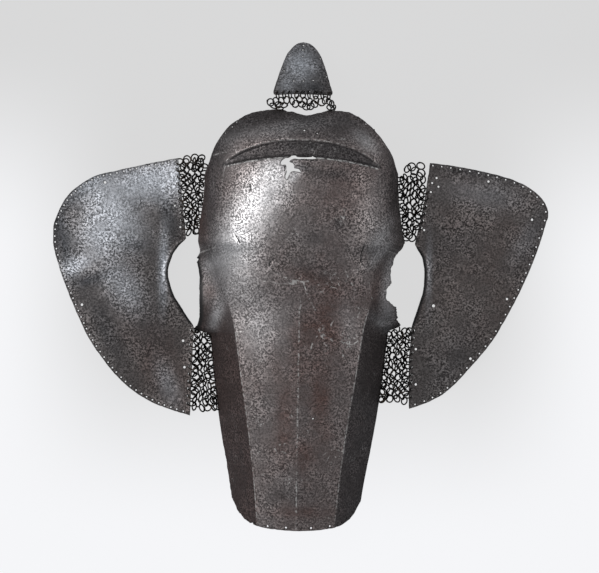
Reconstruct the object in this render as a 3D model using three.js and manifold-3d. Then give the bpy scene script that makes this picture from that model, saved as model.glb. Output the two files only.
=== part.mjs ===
// Head armour for a horse (a shaffron), laid open on a flat surface with its outer face up.
// A long face plate covers the forehead and nose, a cheek plate lies on each side of it, and a small
// poll plate lies beyond its top edge. Five panels of riveted mail join the plates, held by steel rings
// that pass through holes along the plates' edges.
// Millimetres, +Z up from the surface, +Y towards the poll, +X towards the right cheek plate as seen
// from above the outer face. The origin is the bottom centre of the whole object's box.

import * as THREE from "three";
import { mergeVertices } from "three/addons/utils/BufferGeometryUtils.js";
import Module from "manifold-3d";

const wasm = await Module();
wasm.setup();

// ---- driving dimensions ----

const FACE_THICKNESS = 1.4;
const CHEEK_THICKNESS = 1.2;
const POLL_THICKNESS = 1.2;

const FACE_TOP = 230; // how far the untrimmed shell reaches past the top edge
const FACE_BOTTOM = -314;
const SECTION_POWER = 2.3; // 2 is a true half ellipse, and more is squarer
const RIDGE_ANGLE = 0.87; // section angle of the two long ridges of the nose, in radians
const SIDE_BULGE = 2; // how far the nose's side faces swell
const KEEL_SHARE = 0.35; // share of the nose's front slope that meets in a crease along the middle

const RING_RADIUS = 4.4; // to the middle of the wire
const WIRE_RADIUS = 0.6;
const RING_SIDES = 9;
const WIRE_SIDES = 4;
const LINK_HOLE_RADIUS = 2;
const LINK_HOLE_INSET = 3.8; // hole centre from the plate's edge
const FLAT_EDGE_GAP = 0.6; // from a flat edge to the ring's centre
const WALL_RING_OFFSET = 1.2; // ring centre out from the face plate's outer face, at its sides
const TOP_RING_OFFSET = 1.0; // the same at its top edge

const NET_THICKNESS = 2;
const NET_ROWS = 7;
const NET_SAG = 2.6;
const NET_GAP_HALF_WIDTH = 2.1;
const NET_GAP_SHARE = 0.72; // length of a gap as a share of the row's pitch
const NET_SCALLOPS = 4; // along each end of a net
const NET_SCALLOP_DEPTH = 1.6;
const NET_GAP_INSET = RING_RADIUS - FLAT_EDGE_GAP; // of the outer columns of gaps
const NET_BORDER = NET_GAP_INSET + 2.2; // keeps its width where the net is stretched

const DRILL_LENGTH = 12;
const DRILL_SIDES = 6;
const TRIM_LOW = -10; // the upright cutters that trim the plates run from here to TRIM_HIGH
const TRIM_HIGH = 140;

const STEEL = { color: 0x4a4542, roughness: 0.5, metalness: 0.9 };
const STEEL_LIGHT = { color: 0x5a5a5c, roughness: 0.48, metalness: 0.9 };
const MAIL_STEEL = { color: 0x38332f, roughness: 0.55, metalness: 0.85 };

// Face plate, from the poll end down to the nose: half_width at the side edges, height of the crown
// along the middle, half_front between the two ridges, and how far the ridges lie below the crown.
const FACE_STATIONS = [
  { y: 240, half_width: 116, crown: 18, half_front: 96, ridge_drop: 34 },
  { y: 222, half_width: 118, crown: 52, half_front: 96, ridge_drop: 34 },
  { y: 212, half_width: 119, crown: 66, half_front: 96, ridge_drop: 34 },
  { y: 200, half_width: 120, crown: 78, half_front: 96, ridge_drop: 34 },
  { y: 182, half_width: 121.5, crown: 90, half_front: 96, ridge_drop: 34 },
  { y: 161, half_width: 122.5, crown: 98, half_front: 96, ridge_drop: 34 },
  { y: 140, half_width: 123, crown: 103.5, half_front: 96, ridge_drop: 34 },
  { y: 108, half_width: 124.6, crown: 107.5, half_front: 96, ridge_drop: 34 },
  { y: 88, half_width: 127.3, crown: 108.5, half_front: 96, ridge_drop: 34 },
  { y: 68, half_width: 129.5, crown: 108.3, half_front: 95, ridge_drop: 34 },
  { y: 55, half_width: 130.5, crown: 107.6, half_front: 95, ridge_drop: 34 },
  { y: 38, half_width: 122, crown: 106.5, half_front: 94, ridge_drop: 34 },
  { y: 20, half_width: 119, crown: 105, half_front: 93, ridge_drop: 33 },
  { y: -20, half_width: 117.5, crown: 100.5, half_front: 87, ridge_drop: 29 },
  { y: -64, half_width: 113, crown: 95.5, half_front: 79.5, ridge_drop: 21 },
  { y: -116, half_width: 107.5, crown: 89.5, half_front: 72, ridge_drop: 15 },
  { y: -160, half_width: 101.5, crown: 84.5, half_front: 65, ridge_drop: 12.5 },
  { y: -208, half_width: 93.7, crown: 79.5, half_front: 58.5, ridge_drop: 10.5 },
  { y: -250, half_width: 86, crown: 75, half_front: 53.5, ridge_drop: 9.5 },
  { y: -320, half_width: 76, crown: 68, half_front: 47.5, ridge_drop: 8 },
];

// Height of the side edges above the surface: the plate rests on its nose sides and its brow corners,
// and is lifted between them to make room for the rings.
const EDGE_HEIGHTS = [
  { y: 240, height: 5.6 },
  { y: 75, height: 5.6 },
  { y: 62, height: 0 },
  { y: 30, height: 0 },
  { y: -20, height: 5.6 },
  { y: -175, height: 5.6 },
  { y: -200, height: 0 },
  { y: -320, height: 0 },
];

// Rim of the face plate at its top and bottom, seen from above, from the left side to the right one.
const FACE_TOP_RIM = [
  { x: -131, y: 127 },
  { x: -119.5, y: 149 },
  { x: -110, y: 175 },
  { x: -96, y: 196 },
  { x: -81, y: 209.5 },
  { x: -66, y: 217 },
  { x: -45, y: 221.5 },
  { x: -28, y: 222.8 },
  { x: -8, y: 218.4 },
  { x: 4, y: 215.3 },
  { x: 15, y: 217.6 },
  { x: 36, y: 222.6 },
  { x: 54, y: 221.5 },
  { x: 71, y: 214.5 },
  { x: 86, y: 203 },
  { x: 102, y: 185 },
  { x: 114, y: 167 },
  { x: 120.5, y: 149 },
  { x: 131, y: 127 },
];
const FACE_BOTTOM_RIM = [
  { x: 90, y: -262 },
  { x: 79, y: -279 },
  { x: 73, y: -290 },
  { x: 62, y: -299.5 },
  { x: 48, y: -304.5 },
  { x: 24, y: -308 },
  { x: 0, y: -309 },
  { x: -24, y: -308 },
  { x: -48, y: -304 },
  { x: -62, y: -299 },
  { x: -73, y: -289 },
  { x: -79, y: -278 },
  { x: -90, y: -262 },
];
const CLEAR_OF_SIDES = 200;

// A sunk crescent crosses the top of the forehead between two creases. Each crease is highest at the
// middle and drops towards the sides by `drop` at half_span, as |x| to `power`. Below CREASE_FOOT and
// at FACE_TOP the grid's rows no longer bend with the creases.
const CRESCENT = { half_span: 103, depth: 5, wall: 1.8, narrowest: 4, full_depth_at: 15 };
const LOWER_CREASE = { y: 161, drop: 14, power: 2 };
const UPPER_CREASE = { y: 182, drop: 33, power: 2.6 };
const CREASE_FOOT = 110;

// Eye cut-outs in the face plate's sides: an ellipse in side view, on the surface's level, with a lip
// that flares outwards by flare_top at the brow and by flare_bottom at the nose. The right one has lost
// part of its lip.
const EYES = {
  left: { sign: -1, y: -13, half_length: 45, height: 40, flare_top: 12.5, flare_bottom: 21 },
  right: { sign: 1, y: 4, half_length: 54, height: 42, flare_top: 3, flare_bottom: 19 },
};
const LIP = {
  reach: 22,
  power: 1.8,
  top: 20, // y where flare_top gives way to flare_bottom, down to bottom
  bottom: -40,
  fade: 10, // length over which the lip rises at its nose end
  fade_start: 8, // of that, how much lies beyond the cut-out
  first_angle: 0.5, // the section bends outwards from here
  full_angle: 1.1,
};
const LOST_LIP = { sign: 1, y: -8, half_length: 22, height: 50 };
const EYE_CUTTER = { middle: 115, length: 110, sides: 28 };

// Cheek plates: distance of the inner edge from the middle, from top to bottom. Each has a straight
// upper run, a curved eye cut-out and a straight lower run.
const CHEEKS = {
  left: {
    sign: -1,
    eye_top: 57,
    eye_bottom: -54,
    upper: [
      { y: 168, inner: 158 },
      { y: 57, inner: 145.3 },
    ],
    eye: [
      { y: 57, inner: 145.3 },
      { y: 48, inner: 154 },
      { y: 36, inner: 162 },
      { y: 15, inner: 167.6 },
      { y: -9, inner: 162 },
      { y: -29, inner: 150.5 },
      { y: -54, inner: 133.5 },
    ],
    lower: [
      { y: -54, inner: 133.5 },
      { y: -176, inner: 137 },
    ],
    outer_rim: [
      { x: 157, y: 160.4 },
      { x: 197, y: 152.2 },
      { x: 238, y: 142.4 },
      { x: 266, y: 134.5 },
      { x: 296, y: 112 },
      { x: 313, y: 80 },
      { x: 316, y: 52 },
      { x: 306, y: 16 },
      { x: 287, y: -31.4 },
      { x: 262, y: -80 },
      { x: 224, y: -126 },
      { x: 184, y: -152.5 },
      { x: 136.8, y: -168 },
    ],
    strap_holes: [
      { x: 250, y: 127.5 },
      { x: 276.8, y: -28.7 },
      { x: 156.2, y: -70 },
      { x: 155.7, y: -103 },
    ],
  },
  right: {
    sign: 1,
    eye_top: 55,
    eye_bottom: -52,
    upper: [
      { y: 168, inner: 164 },
      { y: 108, inner: 155.8 },
      { y: 55, inner: 145.3 },
    ],
    eye: [
      { y: 55, inner: 145.3 },
      { y: 37, inner: 155.7 },
      { y: 18, inner: 159 },
      { y: -2, inner: 157.6 },
      { y: -24, inner: 152 },
      { y: -52, inner: 142.6 },
    ],
    lower: [
      { y: -52, inner: 142.6 },
      { y: -108, inner: 140 },
      { y: -164, inner: 141.5 },
    ],
    outer_rim: [
      { x: 162.6, y: 159.3 },
      { x: 191, y: 156.3 },
      { x: 228, y: 150 },
      { x: 260, y: 142.7 },
      { x: 286, y: 132.5 },
      { x: 307, y: 116 },
      { x: 315.4, y: 99 },
      { x: 312, y: 81 },
      { x: 298, y: 37.4 },
      { x: 276, y: -13 },
      { x: 250, y: -61 },
      { x: 227, y: -91.3 },
      { x: 196, y: -126 },
      { x: 173, y: -142.5 },
      { x: 141.8, y: -155 },
    ],
    strap_holes: [
      { x: 232, y: 137 },
      { x: 287.5, y: 90.5 },
      { x: 256, y: -13.2 },
      { x: 211, y: -90 },
      { x: 164, y: -20.5 },
    ],
  },
};
const CHEEK = {
  crown: 9, // height of the swell over the middle of the plate
  middle: 225, // where the swell is highest, across and half its span
  half_span: 84,
  half_length: 175,
  edge_lift: 5.6, // of the inner edge, where rings pass under it
  lift_reach: 48,
  lip_height: 6, // of the lip turned up around the eye cut-out
  lip_reach: 9,
};
const STRAP_HOLE_RADIUS = 1.6;
const CHEEK_COLUMNS = [0, 3, 7, 16, 32, 56, 84, 112, 138, 160, 190]; // out from the inner edge
const CHEEK_TOP_ROWS = [170, 140, 108, 80];
const CHEEK_EYE_ROWS = [46, 33, 15, -5, -25, -40];
const CHEEK_BOTTOM_ROWS = [-80, -110, -142, -176];
const CHEEK_TRIM = { inside: 100, below: 4 }; // how far the trimming outline clears the inner edge

// Poll plate, in its own plane: half width against the distance from its base. It leans from the mail
// at its base down to the surface at its tip.
const POLL_OUTLINE = [
  { along: 0, half: 34.5 },
  { along: 1.2, half: 36.8 },
  { along: 4.5, half: 37.7 },
  { along: 12.5, half: 35.8 },
  { along: 31, half: 31 },
  { along: 48, half: 26.2 },
  { along: 62, half: 21 },
  { along: 72, half: 14.5 },
  { along: 78.5, half: 7.5 },
  { along: 80.6, half: 0 },
];
const POLL = { base_y: 240, base_height: 44, tip_height: 1.4, length: 80.6, swell: 3, half_width: 40 };
const POLL_ROWS = [-1, 28, 56, POLL.length + 1];
const POLL_COLUMNS = [-1, -0.5, 0, 0.5, 1]; // as shares of the half width

// Mail panels beside the face plate: where each runs along the cheek plate and along the face plate,
// and which rows of its edge gaps hold a ring that links it to them.
const UPPER_LINKS = [0, 2, 4];
const LOWER_LINKS = [0, 2, 4, 6];
const SIDE_PANELS = [
  { name: "upper_left", cheek: "left", cheek_run: [153, 66], face_run: [141, 79], links: UPPER_LINKS },
  { name: "upper_right", cheek: "right", cheek_run: [152, 66], face_run: [140, 79], links: UPPER_LINKS },
  { name: "lower_left", cheek: "left", cheek_run: [-63, -163], face_run: [-70, -166], links: LOWER_LINKS },
  { name: "lower_right", cheek: "right", cheek_run: [-56, -150], face_run: [-66, -160], links: LOWER_LINKS },
];

// Mail between the poll plate and the face plate's top edge, with its rings counted from the left.
const POLL_PANEL = { half_width: 36, gaps: 9, poll_links: [0, 2, 4, 6, 8], face_links: [0, 1, 7] };

// ---- small helpers ----

const clamp01 = (t) => Math.min(1, Math.max(0, t));
const mix = (a, b, t) => a + (b - a) * t;
const smoothstep = (from, to, value) => {
  const t = clamp01((value - from) / (to - from));
  return t * t * (3 - 2 * t);
};

// A smooth curve through a table's rows that never overshoots them: the slope at each row is the
// harmonic mean of the slopes on its two sides.
function curveThrough(rows, key, column) {
  const sorted = [...rows].sort((a, b) => a[key] - b[key]);
  const xs = sorted.map((row) => row[key]);
  const ys = sorted.map((row) => row[column]);
  const secants = xs.slice(1).map((x, i) => (ys[i + 1] - ys[i]) / (x - xs[i]));
  const slopes = xs.map((_, i) => {
    const before = secants[i - 1] ?? secants[0];
    const after = secants[i] ?? secants.at(-1);
    return before * after <= 0 ? 0 : (2 * before * after) / (before + after);
  });
  return (x) => {
    if (x <= xs[0]) return ys[0];
    if (x >= xs.at(-1)) return ys.at(-1);
    const i = xs.findIndex((limit) => limit > x) - 1;
    const span = xs[i + 1] - xs[i];
    const t = (x - xs[i]) / span;
    const u = 1 - t;
    return (
      ys[i] * (1 + 2 * t) * u * u +
      ys[i + 1] * (3 - 2 * t) * t * t +
      span * t * u * (slopes[i] * u - slopes[i + 1] * t)
    );
  };
}

// A manifold solid from a closed three.js geometry.
function solidOf(geometry) {
  const bare = new THREE.BufferGeometry();
  bare.setAttribute("position", geometry.getAttribute("position").clone());
  if (geometry.index) bare.setIndex(geometry.index.clone());
  const merged = mergeVertices(bare, 1e-4);
  return new wasm.Manifold(
    new wasm.Mesh({
      numProp: 3,
      vertProperties: merged.getAttribute("position").array,
      triVerts: new Uint32Array(merged.index.array),
    }),
  );
}

// A named three.js mesh from a manifold solid.
function meshOf(name, solid, look) {
  const made = solid.getMesh();
  const geometry = new THREE.BufferGeometry();
  geometry.setAttribute("position", new THREE.BufferAttribute(made.vertProperties, 3));
  geometry.setIndex(new THREE.BufferAttribute(made.triVerts, 1));
  geometry.computeVertexNormals();
  const mesh = new THREE.Mesh(geometry, new THREE.MeshStandardMaterial(look));
  mesh.name = name;
  return mesh;
}

// Unit normal of the surface at(u, v), by small steps along both directions.
function normalOf(at, u, v, stepU, stepV) {
  const alongU = at(u + stepU, v).sub(at(u - stepU, v));
  const alongV = at(u, v + stepV).sub(at(u, v - stepV));
  return alongU.cross(alongV).normalize();
}

// A closed sheet of metal: its outer face is the grid of outer(i, j), its inner face is inner(i, j).
function sheetBetween(columns, rows, outer, inner) {
  const positions = [];
  const index = [];
  for (const side of [outer, inner])
    for (let j = 0; j < rows; j++)
      for (let i = 0; i < columns; i++) positions.push(...side(i, j).toArray());
  const top = (i, j) => j * columns + i;
  const under = (i, j) => rows * columns + top(i, j);
  const quad = (a, b, c, d) => index.push(a, b, c, a, c, d);
  for (let j = 0; j + 1 < rows; j++)
    for (let i = 0; i + 1 < columns; i++) {
      quad(top(i, j), top(i + 1, j), top(i + 1, j + 1), top(i, j + 1));
      quad(under(i, j), under(i, j + 1), under(i + 1, j + 1), under(i + 1, j));
    }
  for (let i = 0; i + 1 < columns; i++) {
    quad(under(i, 0), under(i + 1, 0), top(i + 1, 0), top(i, 0));
    quad(top(i, rows - 1), top(i + 1, rows - 1), under(i + 1, rows - 1), under(i, rows - 1));
  }
  for (let j = 0; j + 1 < rows; j++) {
    quad(top(0, j), top(0, j + 1), under(0, j + 1), under(0, j));
    quad(under(columns - 1, j), under(columns - 1, j + 1), top(columns - 1, j + 1), top(columns - 1, j));
  }
  const geometry = new THREE.BufferGeometry();
  geometry.setAttribute("position", new THREE.Float32BufferAttribute(positions, 3));
  geometry.setIndex(index);
  return solidOf(geometry);
}

// Points of a smooth curve through a rim table, seen from above.
function rimPoints(rows, perSpan = 2) {
  const points = rows.map(({ x, y }) => new THREE.Vector2(x, y));
  return new THREE.SplineCurve(points).getPoints((rows.length - 1) * perSpan);
}

// An upright prism over a closed outline.
function prism(points) {
  const shape = new THREE.Shape(points);
  const geometry = new THREE.ExtrudeGeometry(shape, { depth: TRIM_HIGH - TRIM_LOW, bevelEnabled: false });
  return solidOf(geometry.translate(0, 0, TRIM_LOW));
}

// A drill: a round bar centred on a point along a direction.
function drill(centre, direction, radius) {
  const geometry = new THREE.CylinderGeometry(radius, radius, DRILL_LENGTH, DRILL_SIDES);
  const turn = new THREE.Quaternion().setFromUnitVectors(new THREE.Vector3(0, 1, 0), direction);
  geometry.applyQuaternion(turn).translate(...centre.toArray());
  return solidOf(geometry);
}

// ---- the face plate's surface ----

const halfWidth = curveThrough(FACE_STATIONS, "y", "half_width");
const crown = curveThrough(FACE_STATIONS, "y", "crown");
const halfFront = curveThrough(FACE_STATIONS, "y", "half_front");
const ridgeDrop = curveThrough(FACE_STATIONS, "y", "ridge_drop");
const edgeHeight = curveThrough(EDGE_HEIGHTS, "y", "height");
const facetShare = (y) => smoothstep(15, -55, y); // 0 on the domed forehead, 1 on the three-faced nose

const creaseY = (crease, x) =>
  crease.y - crease.drop * Math.min(1.3, Math.abs(x) / CRESCENT.half_span) ** crease.power;
const lowerCrease = (x) => creaseY(LOWER_CREASE, x);
const upperCrease = (x) => Math.max(creaseY(UPPER_CREASE, x), lowerCrease(x) + CRESCENT.narrowest);

// How far the crescent is sunk below the plain dome.
function crescentDepth(x, y) {
  const low = lowerCrease(x);
  const high = upperCrease(x);
  const depth = CRESCENT.depth * smoothstep(CRESCENT.narrowest, CRESCENT.full_depth_at, high - low);
  return depth * clamp01(Math.min(y - low, high - y) / CRESCENT.wall);
}

// Cross-section at y. The angle runs from -PI/2 at the left edge over 0 at the crown to PI/2.
function sectionPoint(y, angle) {
  const a = Math.min(Math.abs(angle), Math.PI / 2);
  const width = halfWidth(y);
  const top = crown(y);
  const edge = edgeHeight(y);
  const domeX = width * Math.sin(a) ** (2 / SECTION_POWER);
  const domeZ = edge + (top - edge) * Math.max(0, Math.cos(a)) ** (2 / SECTION_POWER);

  const front = halfFront(y);
  const ridgeZ = top - ridgeDrop(y);
  let facetX;
  let facetZ;
  if (a <= RIDGE_ANGLE) {
    const t = a / RIDGE_ANGLE;
    facetX = front * t;
    facetZ = top - ridgeDrop(y) * (KEEL_SHARE * t + (1 - KEEL_SHARE) * t * t);
  } else {
    const t = (a - RIDGE_ANGLE) / (Math.PI / 2 - RIDGE_ANGLE);
    const across = new THREE.Vector2(width - front, edge - ridgeZ);
    const swell = (SIDE_BULGE * Math.sin(Math.PI * t)) / across.length();
    facetX = front + across.x * t - across.y * swell;
    facetZ = ridgeZ + across.y * t + across.x * swell;
  }
  const share = facetShare(y);
  return new THREE.Vector2(Math.sign(angle) * mix(domeX, facetX, share), mix(domeZ, facetZ, share));
}

// How far outside an eye's ellipse a point in side view lies, measured from the ellipse's centre.
function distanceFromEye(eye, y, z) {
  const along = y - eye.y;
  const reach = Math.hypot(along, z);
  const share = Math.hypot(along / eye.half_length, z / eye.height);
  return share > 1e-6 ? reach * (1 - 1 / share) : -eye.height;
}

function facePoint(y, angle) {
  const section = sectionPoint(y, angle);
  const eye = angle < 0 ? EYES.left : EYES.right;
  const away = Math.max(0, distanceFromEye(eye, y, section.y));
  const widest = mix(eye.flare_top, eye.flare_bottom, smoothstep(LIP.top, LIP.bottom, y));
  const lowEnd = eye.y - eye.half_length;
  const fadeStart = lowEnd - LIP.fade_start;
  const fade = smoothstep(fadeStart, fadeStart + LIP.fade, y);
  const flare = widest * fade * clamp01(1 - away / LIP.reach) ** LIP.power;
  const bend = smoothstep(LIP.first_angle, LIP.full_angle, Math.abs(angle));
  const x = section.x + Math.sign(angle) * flare * bend;
  return new THREE.Vector3(x, y, section.y - crescentDepth(x, y));
}

// A grid row that follows the creases: rows at the creases' own y bend with them.
function bentRow(row, angle) {
  const anchors = [FACE_BOTTOM, CREASE_FOOT, LOWER_CREASE.y, UPPER_CREASE.y, FACE_TOP];
  let y = row;
  for (let pass = 0; pass < 3; pass++) {
    const x = sectionPoint(y, angle).x;
    const bent = [FACE_BOTTOM, CREASE_FOOT, lowerCrease(x), upperCrease(x), FACE_TOP];
    const i = Math.min(anchors.findIndex((limit) => limit >= row), anchors.length - 1) || 1;
    const t = (row - anchors[i - 1]) / (anchors[i] - anchors[i - 1]);
    y = mix(bent[i - 1], bent[i], t);
  }
  return y;
}

const FACE_ROWS = [
  FACE_BOTTOM, -290, -262, -230, -196, -164, -132, -100, -80, -69, -62, -56, -46, -32, -16, 2, 20, 36,
  48, 58, 72, 90, CREASE_FOOT, 128, 146, LOWER_CREASE.y, LOWER_CREASE.y + 2, UPPER_CREASE.y - 2,
  UPPER_CREASE.y, 191, 200, 208, 216, 223, FACE_TOP,
];
const FACE_ANGLES = (() => {
  const half = [0, 0.2, 0.4, 0.63, RIDGE_ANGLE, 1, 1.12, 1.23, 1.34, 1.45, Math.PI / 2];
  return [...half.slice(1).reverse().map((a) => -a), ...half];
})();

const faceNormal = (y, angle) => {
  const inside = Math.sign(angle) * Math.min(Math.abs(angle), Math.PI / 2 - 0.02);
  return normalOf((a, b) => facePoint(b, a), inside, y, 0.01, 0.8);
};

function facePlate(linkHoles) {
  const outer = (i, j) => facePoint(bentRow(FACE_ROWS[j], FACE_ANGLES[i]), FACE_ANGLES[i]);
  const inner = (i, j) => {
    const angle = FACE_ANGLES[i];
    const y = bentRow(FACE_ROWS[j], angle);
    const point = facePoint(y, angle);
    const normal = faceNormal(y, angle);
    const isEdge = i === 0 || i === FACE_ANGLES.length - 1;
    if (isEdge) return point.setX(point.x - FACE_THICKNESS / normal.x);
    return point.addScaledVector(normal, -FACE_THICKNESS);
  };
  const shell = sheetBetween(FACE_ANGLES.length, FACE_ROWS.length, outer, inner);
  const outline = [
    ...rimPoints(FACE_TOP_RIM),
    new THREE.Vector2(CLEAR_OF_SIDES, FACE_TOP_RIM.at(-1).y),
    new THREE.Vector2(CLEAR_OF_SIDES, FACE_BOTTOM_RIM[0].y),
    ...rimPoints(FACE_BOTTOM_RIM),
    new THREE.Vector2(-CLEAR_OF_SIDES, FACE_BOTTOM_RIM[0].y),
    new THREE.Vector2(-CLEAR_OF_SIDES, FACE_TOP_RIM[0].y),
  ];
  let plate = shell.intersect(prism(outline.reverse()));
  for (const eye of [EYES.left, EYES.right, LOST_LIP]) plate = plate.subtract(eyeCutter(eye));
  for (const hole of linkHoles) plate = plate.subtract(hole);
  return plate;
}

// A bar with the eye's elliptical section, through one side of the face plate.
function eyeCutter(eye) {
  const geometry = new THREE.CylinderGeometry(1, 1, EYE_CUTTER.length, EYE_CUTTER.sides);
  geometry.rotateZ(Math.PI / 2).scale(1, eye.half_length, eye.height);
  return solidOf(geometry.translate(eye.sign * EYE_CUTTER.middle, eye.y, 0));
}

// ---- cheek plates ----

function innerEdge(cheek) {
  const upper = curveThrough(cheek.upper, "y", "inner");
  const eye = curveThrough(cheek.eye, "y", "inner");
  const lower = curveThrough(cheek.lower, "y", "inner");
  return (y) => (y >= cheek.eye_top ? upper(y) : y <= cheek.eye_bottom ? lower(y) : eye(y));
}

// Height of the cheek plate's underside at a distance out from its inner edge.
function cheekHeight(cheek, y, out) {
  const across = innerEdge(cheek)(y) + out;
  const span = clamp01(1 - ((across - CHEEK.middle) / CHEEK.half_span) ** 2);
  const swell = CHEEK.crown * span * (1 - 0.8 * (y / CHEEK.half_length) ** 2);
  const straight = mix(cheek.lower[0].inner, cheek.upper[0].inner, smoothstep(-60, 160, y));
  const lift = CHEEK.edge_lift * clamp01(1 - (across - straight) / CHEEK.lift_reach) ** 2;
  const inEye = smoothstep(cheek.eye_bottom, cheek.eye_bottom + 14, y) *
    smoothstep(cheek.eye_top, cheek.eye_top - 14, y);
  const lip = CHEEK.lip_height * inEye * clamp01(1 - out / CHEEK.lip_reach) ** 2;
  return Math.max(0, swell) + Math.min(CHEEK.edge_lift, lift) + lip;
}

const cheekPoint = (cheek, y, out) =>
  new THREE.Vector3(cheek.sign * (innerEdge(cheek)(y) + out), y, cheekHeight(cheek, y, out));

function cheekPlate(cheek, linkHoles) {
  const rows = [
    ...CHEEK_TOP_ROWS, cheek.eye_top, ...CHEEK_EYE_ROWS, cheek.eye_bottom, ...CHEEK_BOTTOM_ROWS,
  ];
  const under = (i, j) => cheekPoint(cheek, rows[j], CHEEK_COLUMNS[i]);
  const over = (i, j) => under(i, j).add(new THREE.Vector3(0, 0, CHEEK_THICKNESS));
  const sides = cheek.sign > 0 ? [under, over] : [over, under];
  const sheet = sheetBetween(CHEEK_COLUMNS.length, rows.length, ...sides);
  const rim = rimPoints(cheek.outer_rim);
  const outline = [
    new THREE.Vector2(CHEEK_TRIM.inside, rim[0].y + (rim[0].y - rim[1].y)),
    ...rim,
    new THREE.Vector2(CHEEK_TRIM.inside, rim.at(-1).y - CHEEK_TRIM.below),
  ].map((p) => new THREE.Vector2(cheek.sign * p.x, p.y));
  if (cheek.sign > 0) outline.reverse();
  let plate = sheet.intersect(prism(outline));
  const upright = new THREE.Vector3(0, 0, 1);
  for (const { x, y } of cheek.strap_holes) {
    const out = x - innerEdge(cheek)(y);
    plate = plate.subtract(drill(cheekPoint(cheek, y, out), upright, STRAP_HOLE_RADIUS));
  }
  for (const hole of linkHoles) plate = plate.subtract(hole);
  return plate;
}

// ---- poll plate, in a plane that leans from the mail down to the surface ----

const pollLean = Math.asin((POLL.base_height - POLL.tip_height) / POLL.length);

// A point above the poll plate's own plane, placed in the part's frame.
function pollPoint(across, along, above) {
  const swell = POLL.swell * (1 - (across / POLL.half_width) ** 2);
  return new THREE.Vector3(across, along, swell + above)
    .applyAxisAngle(new THREE.Vector3(1, 0, 0), -pollLean)
    .add(new THREE.Vector3(0, POLL.base_y, POLL.base_height));
}

function pollPlate(linkHoles) {
  const place = (i, j, above) => pollPoint(POLL_COLUMNS[i] * POLL.half_width, POLL_ROWS[j], above);
  const over = (i, j) => place(i, j, POLL_THICKNESS);
  const under = (i, j) => place(i, j, 0);
  const sheet = sheetBetween(POLL_COLUMNS.length, POLL_ROWS.length, over, under);
  const half = rimPoints(POLL_OUTLINE.map(({ along, half: x }) => ({ x, y: along })));
  const outline = [...half, ...half.slice(0, -1).reverse().map((p) => new THREE.Vector2(-p.x, p.y))];
  const depth = DRILL_LENGTH + 2 * POLL.swell;
  const cutter = new THREE.ExtrudeGeometry(new THREE.Shape(outline), { depth, bevelEnabled: false })
    .translate(0, 0, -depth / 2)
    .rotateX(-pollLean)
    .translate(0, POLL.base_y, POLL.base_height);
  let plate = sheet.intersect(solidOf(cutter));
  for (const hole of linkHoles) plate = plate.subtract(hole);
  return plate;
}

// ---- mail panels and the rings that link them ----

// A ring around an edge: `inward` runs from the edge into the plate, `normal` is the plate's outward
// normal, and the ring stands across the edge.
function linkAt(edge, inward, normal, offset) {
  const centre = edge.clone().addScaledVector(normal, offset);
  if (offset === 0) centre.addScaledVector(inward, -FLAT_EDGE_GAP);
  const holeCentre = edge.clone().addScaledVector(inward, LINK_HOLE_INSET);
  const hole = drill(holeCentre, normal, LINK_HOLE_RADIUS);
  const axis = inward.clone().cross(normal);
  return { centre, inward, axis, hole };
}

function ringGeometry({ centre, axis, inward }) {
  const ring = new THREE.TorusGeometry(RING_RADIUS, WIRE_RADIUS, WIRE_SIDES, RING_SIDES);
  const side = axis.clone().cross(inward).normalize();
  const basis = new THREE.Matrix4().makeBasis(inward.clone().normalize(), side, axis.clone().normalize());
  return ring.applyMatrix4(basis).translate(...centre.toArray());
}

// A flat net with lens-shaped gaps in columns, every other column shifted by half a row. It is bent
// onto its place by at(across, along share, above), whose width across may vary along its length: the
// net's two borders keep their width, and what lies between them stretches. A mirrored net has its
// faces turned round, so that they still point outwards.
function netPanel(width, length, columns, rows, at, mirrored = false) {
  const shape = new THREE.Shape();
  const endSteps = 2 * NET_SCALLOPS;
  const endPoint = (k, y, way) =>
    new THREE.Vector2((k / endSteps) * width, y + (k % 2) * NET_SCALLOP_DEPTH * way);
  const ends = Array.from({ length: endSteps + 1 }, (_, k) => k);
  const lowEnd = ends.map((k) => endPoint(k, 0, -1));
  const highEnd = ends.map((k) => endPoint(k, length, 1)).reverse();
  const steps = Array.from({ length: rows - 1 }, (_, k) => ((k + 1) / rows) * length);
  const farSide = steps.map((y) => new THREE.Vector2(width, y));
  const nearSide = steps.map((y) => new THREE.Vector2(0, y)).reverse();
  shape.setFromPoints([...lowEnd, ...farSide, ...highEnd, ...nearSide]);
  const pitch = length / rows;
  const halfAlong = (pitch * NET_GAP_SHARE) / 2;
  for (const [c, x] of columns.entries()) {
    const shifted = c % 2;
    for (let r = 0; r + shifted < rows; r++) {
      const y = (r + 0.5 + shifted / 2) * pitch;
      const corners = [
        new THREE.Vector2(x, y - halfAlong),
        new THREE.Vector2(x - NET_GAP_HALF_WIDTH, y),
        new THREE.Vector2(x, y + halfAlong),
        new THREE.Vector2(x + NET_GAP_HALF_WIDTH, y),
      ];
      shape.holes.push(new THREE.Path(corners));
    }
  }
  const flat = new THREE.ExtrudeGeometry(shape, { depth: NET_THICKNESS, bevelEnabled: false });
  const position = flat.getAttribute("position");
  for (let k = 0; k < position.count; k++) {
    const above = position.getZ(k) - NET_THICKNESS / 2;
    const along = position.getY(k) / length;
    const here = at(0, along, 0).distanceTo(at(1, along, 0));
    const x = position.getX(k);
    const border = Math.min(NET_BORDER, here / 2, width / 2);
    let across = mix(border, here - border, (x - border) / Math.max(1e-6, width - 2 * border));
    if (x <= border) across = x;
    if (x >= width - border) across = here - (width - x);
    position.setXYZ(k, ...at(across / here, along, above).toArray());
  }
  if (mirrored) {
    const merged = mergeVertices(flat.deleteAttribute("normal").deleteAttribute("uv"), 1e-4);
    merged.index.array.reverse();
    return solidOf(merged);
  }
  return solidOf(flat);
}

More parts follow.
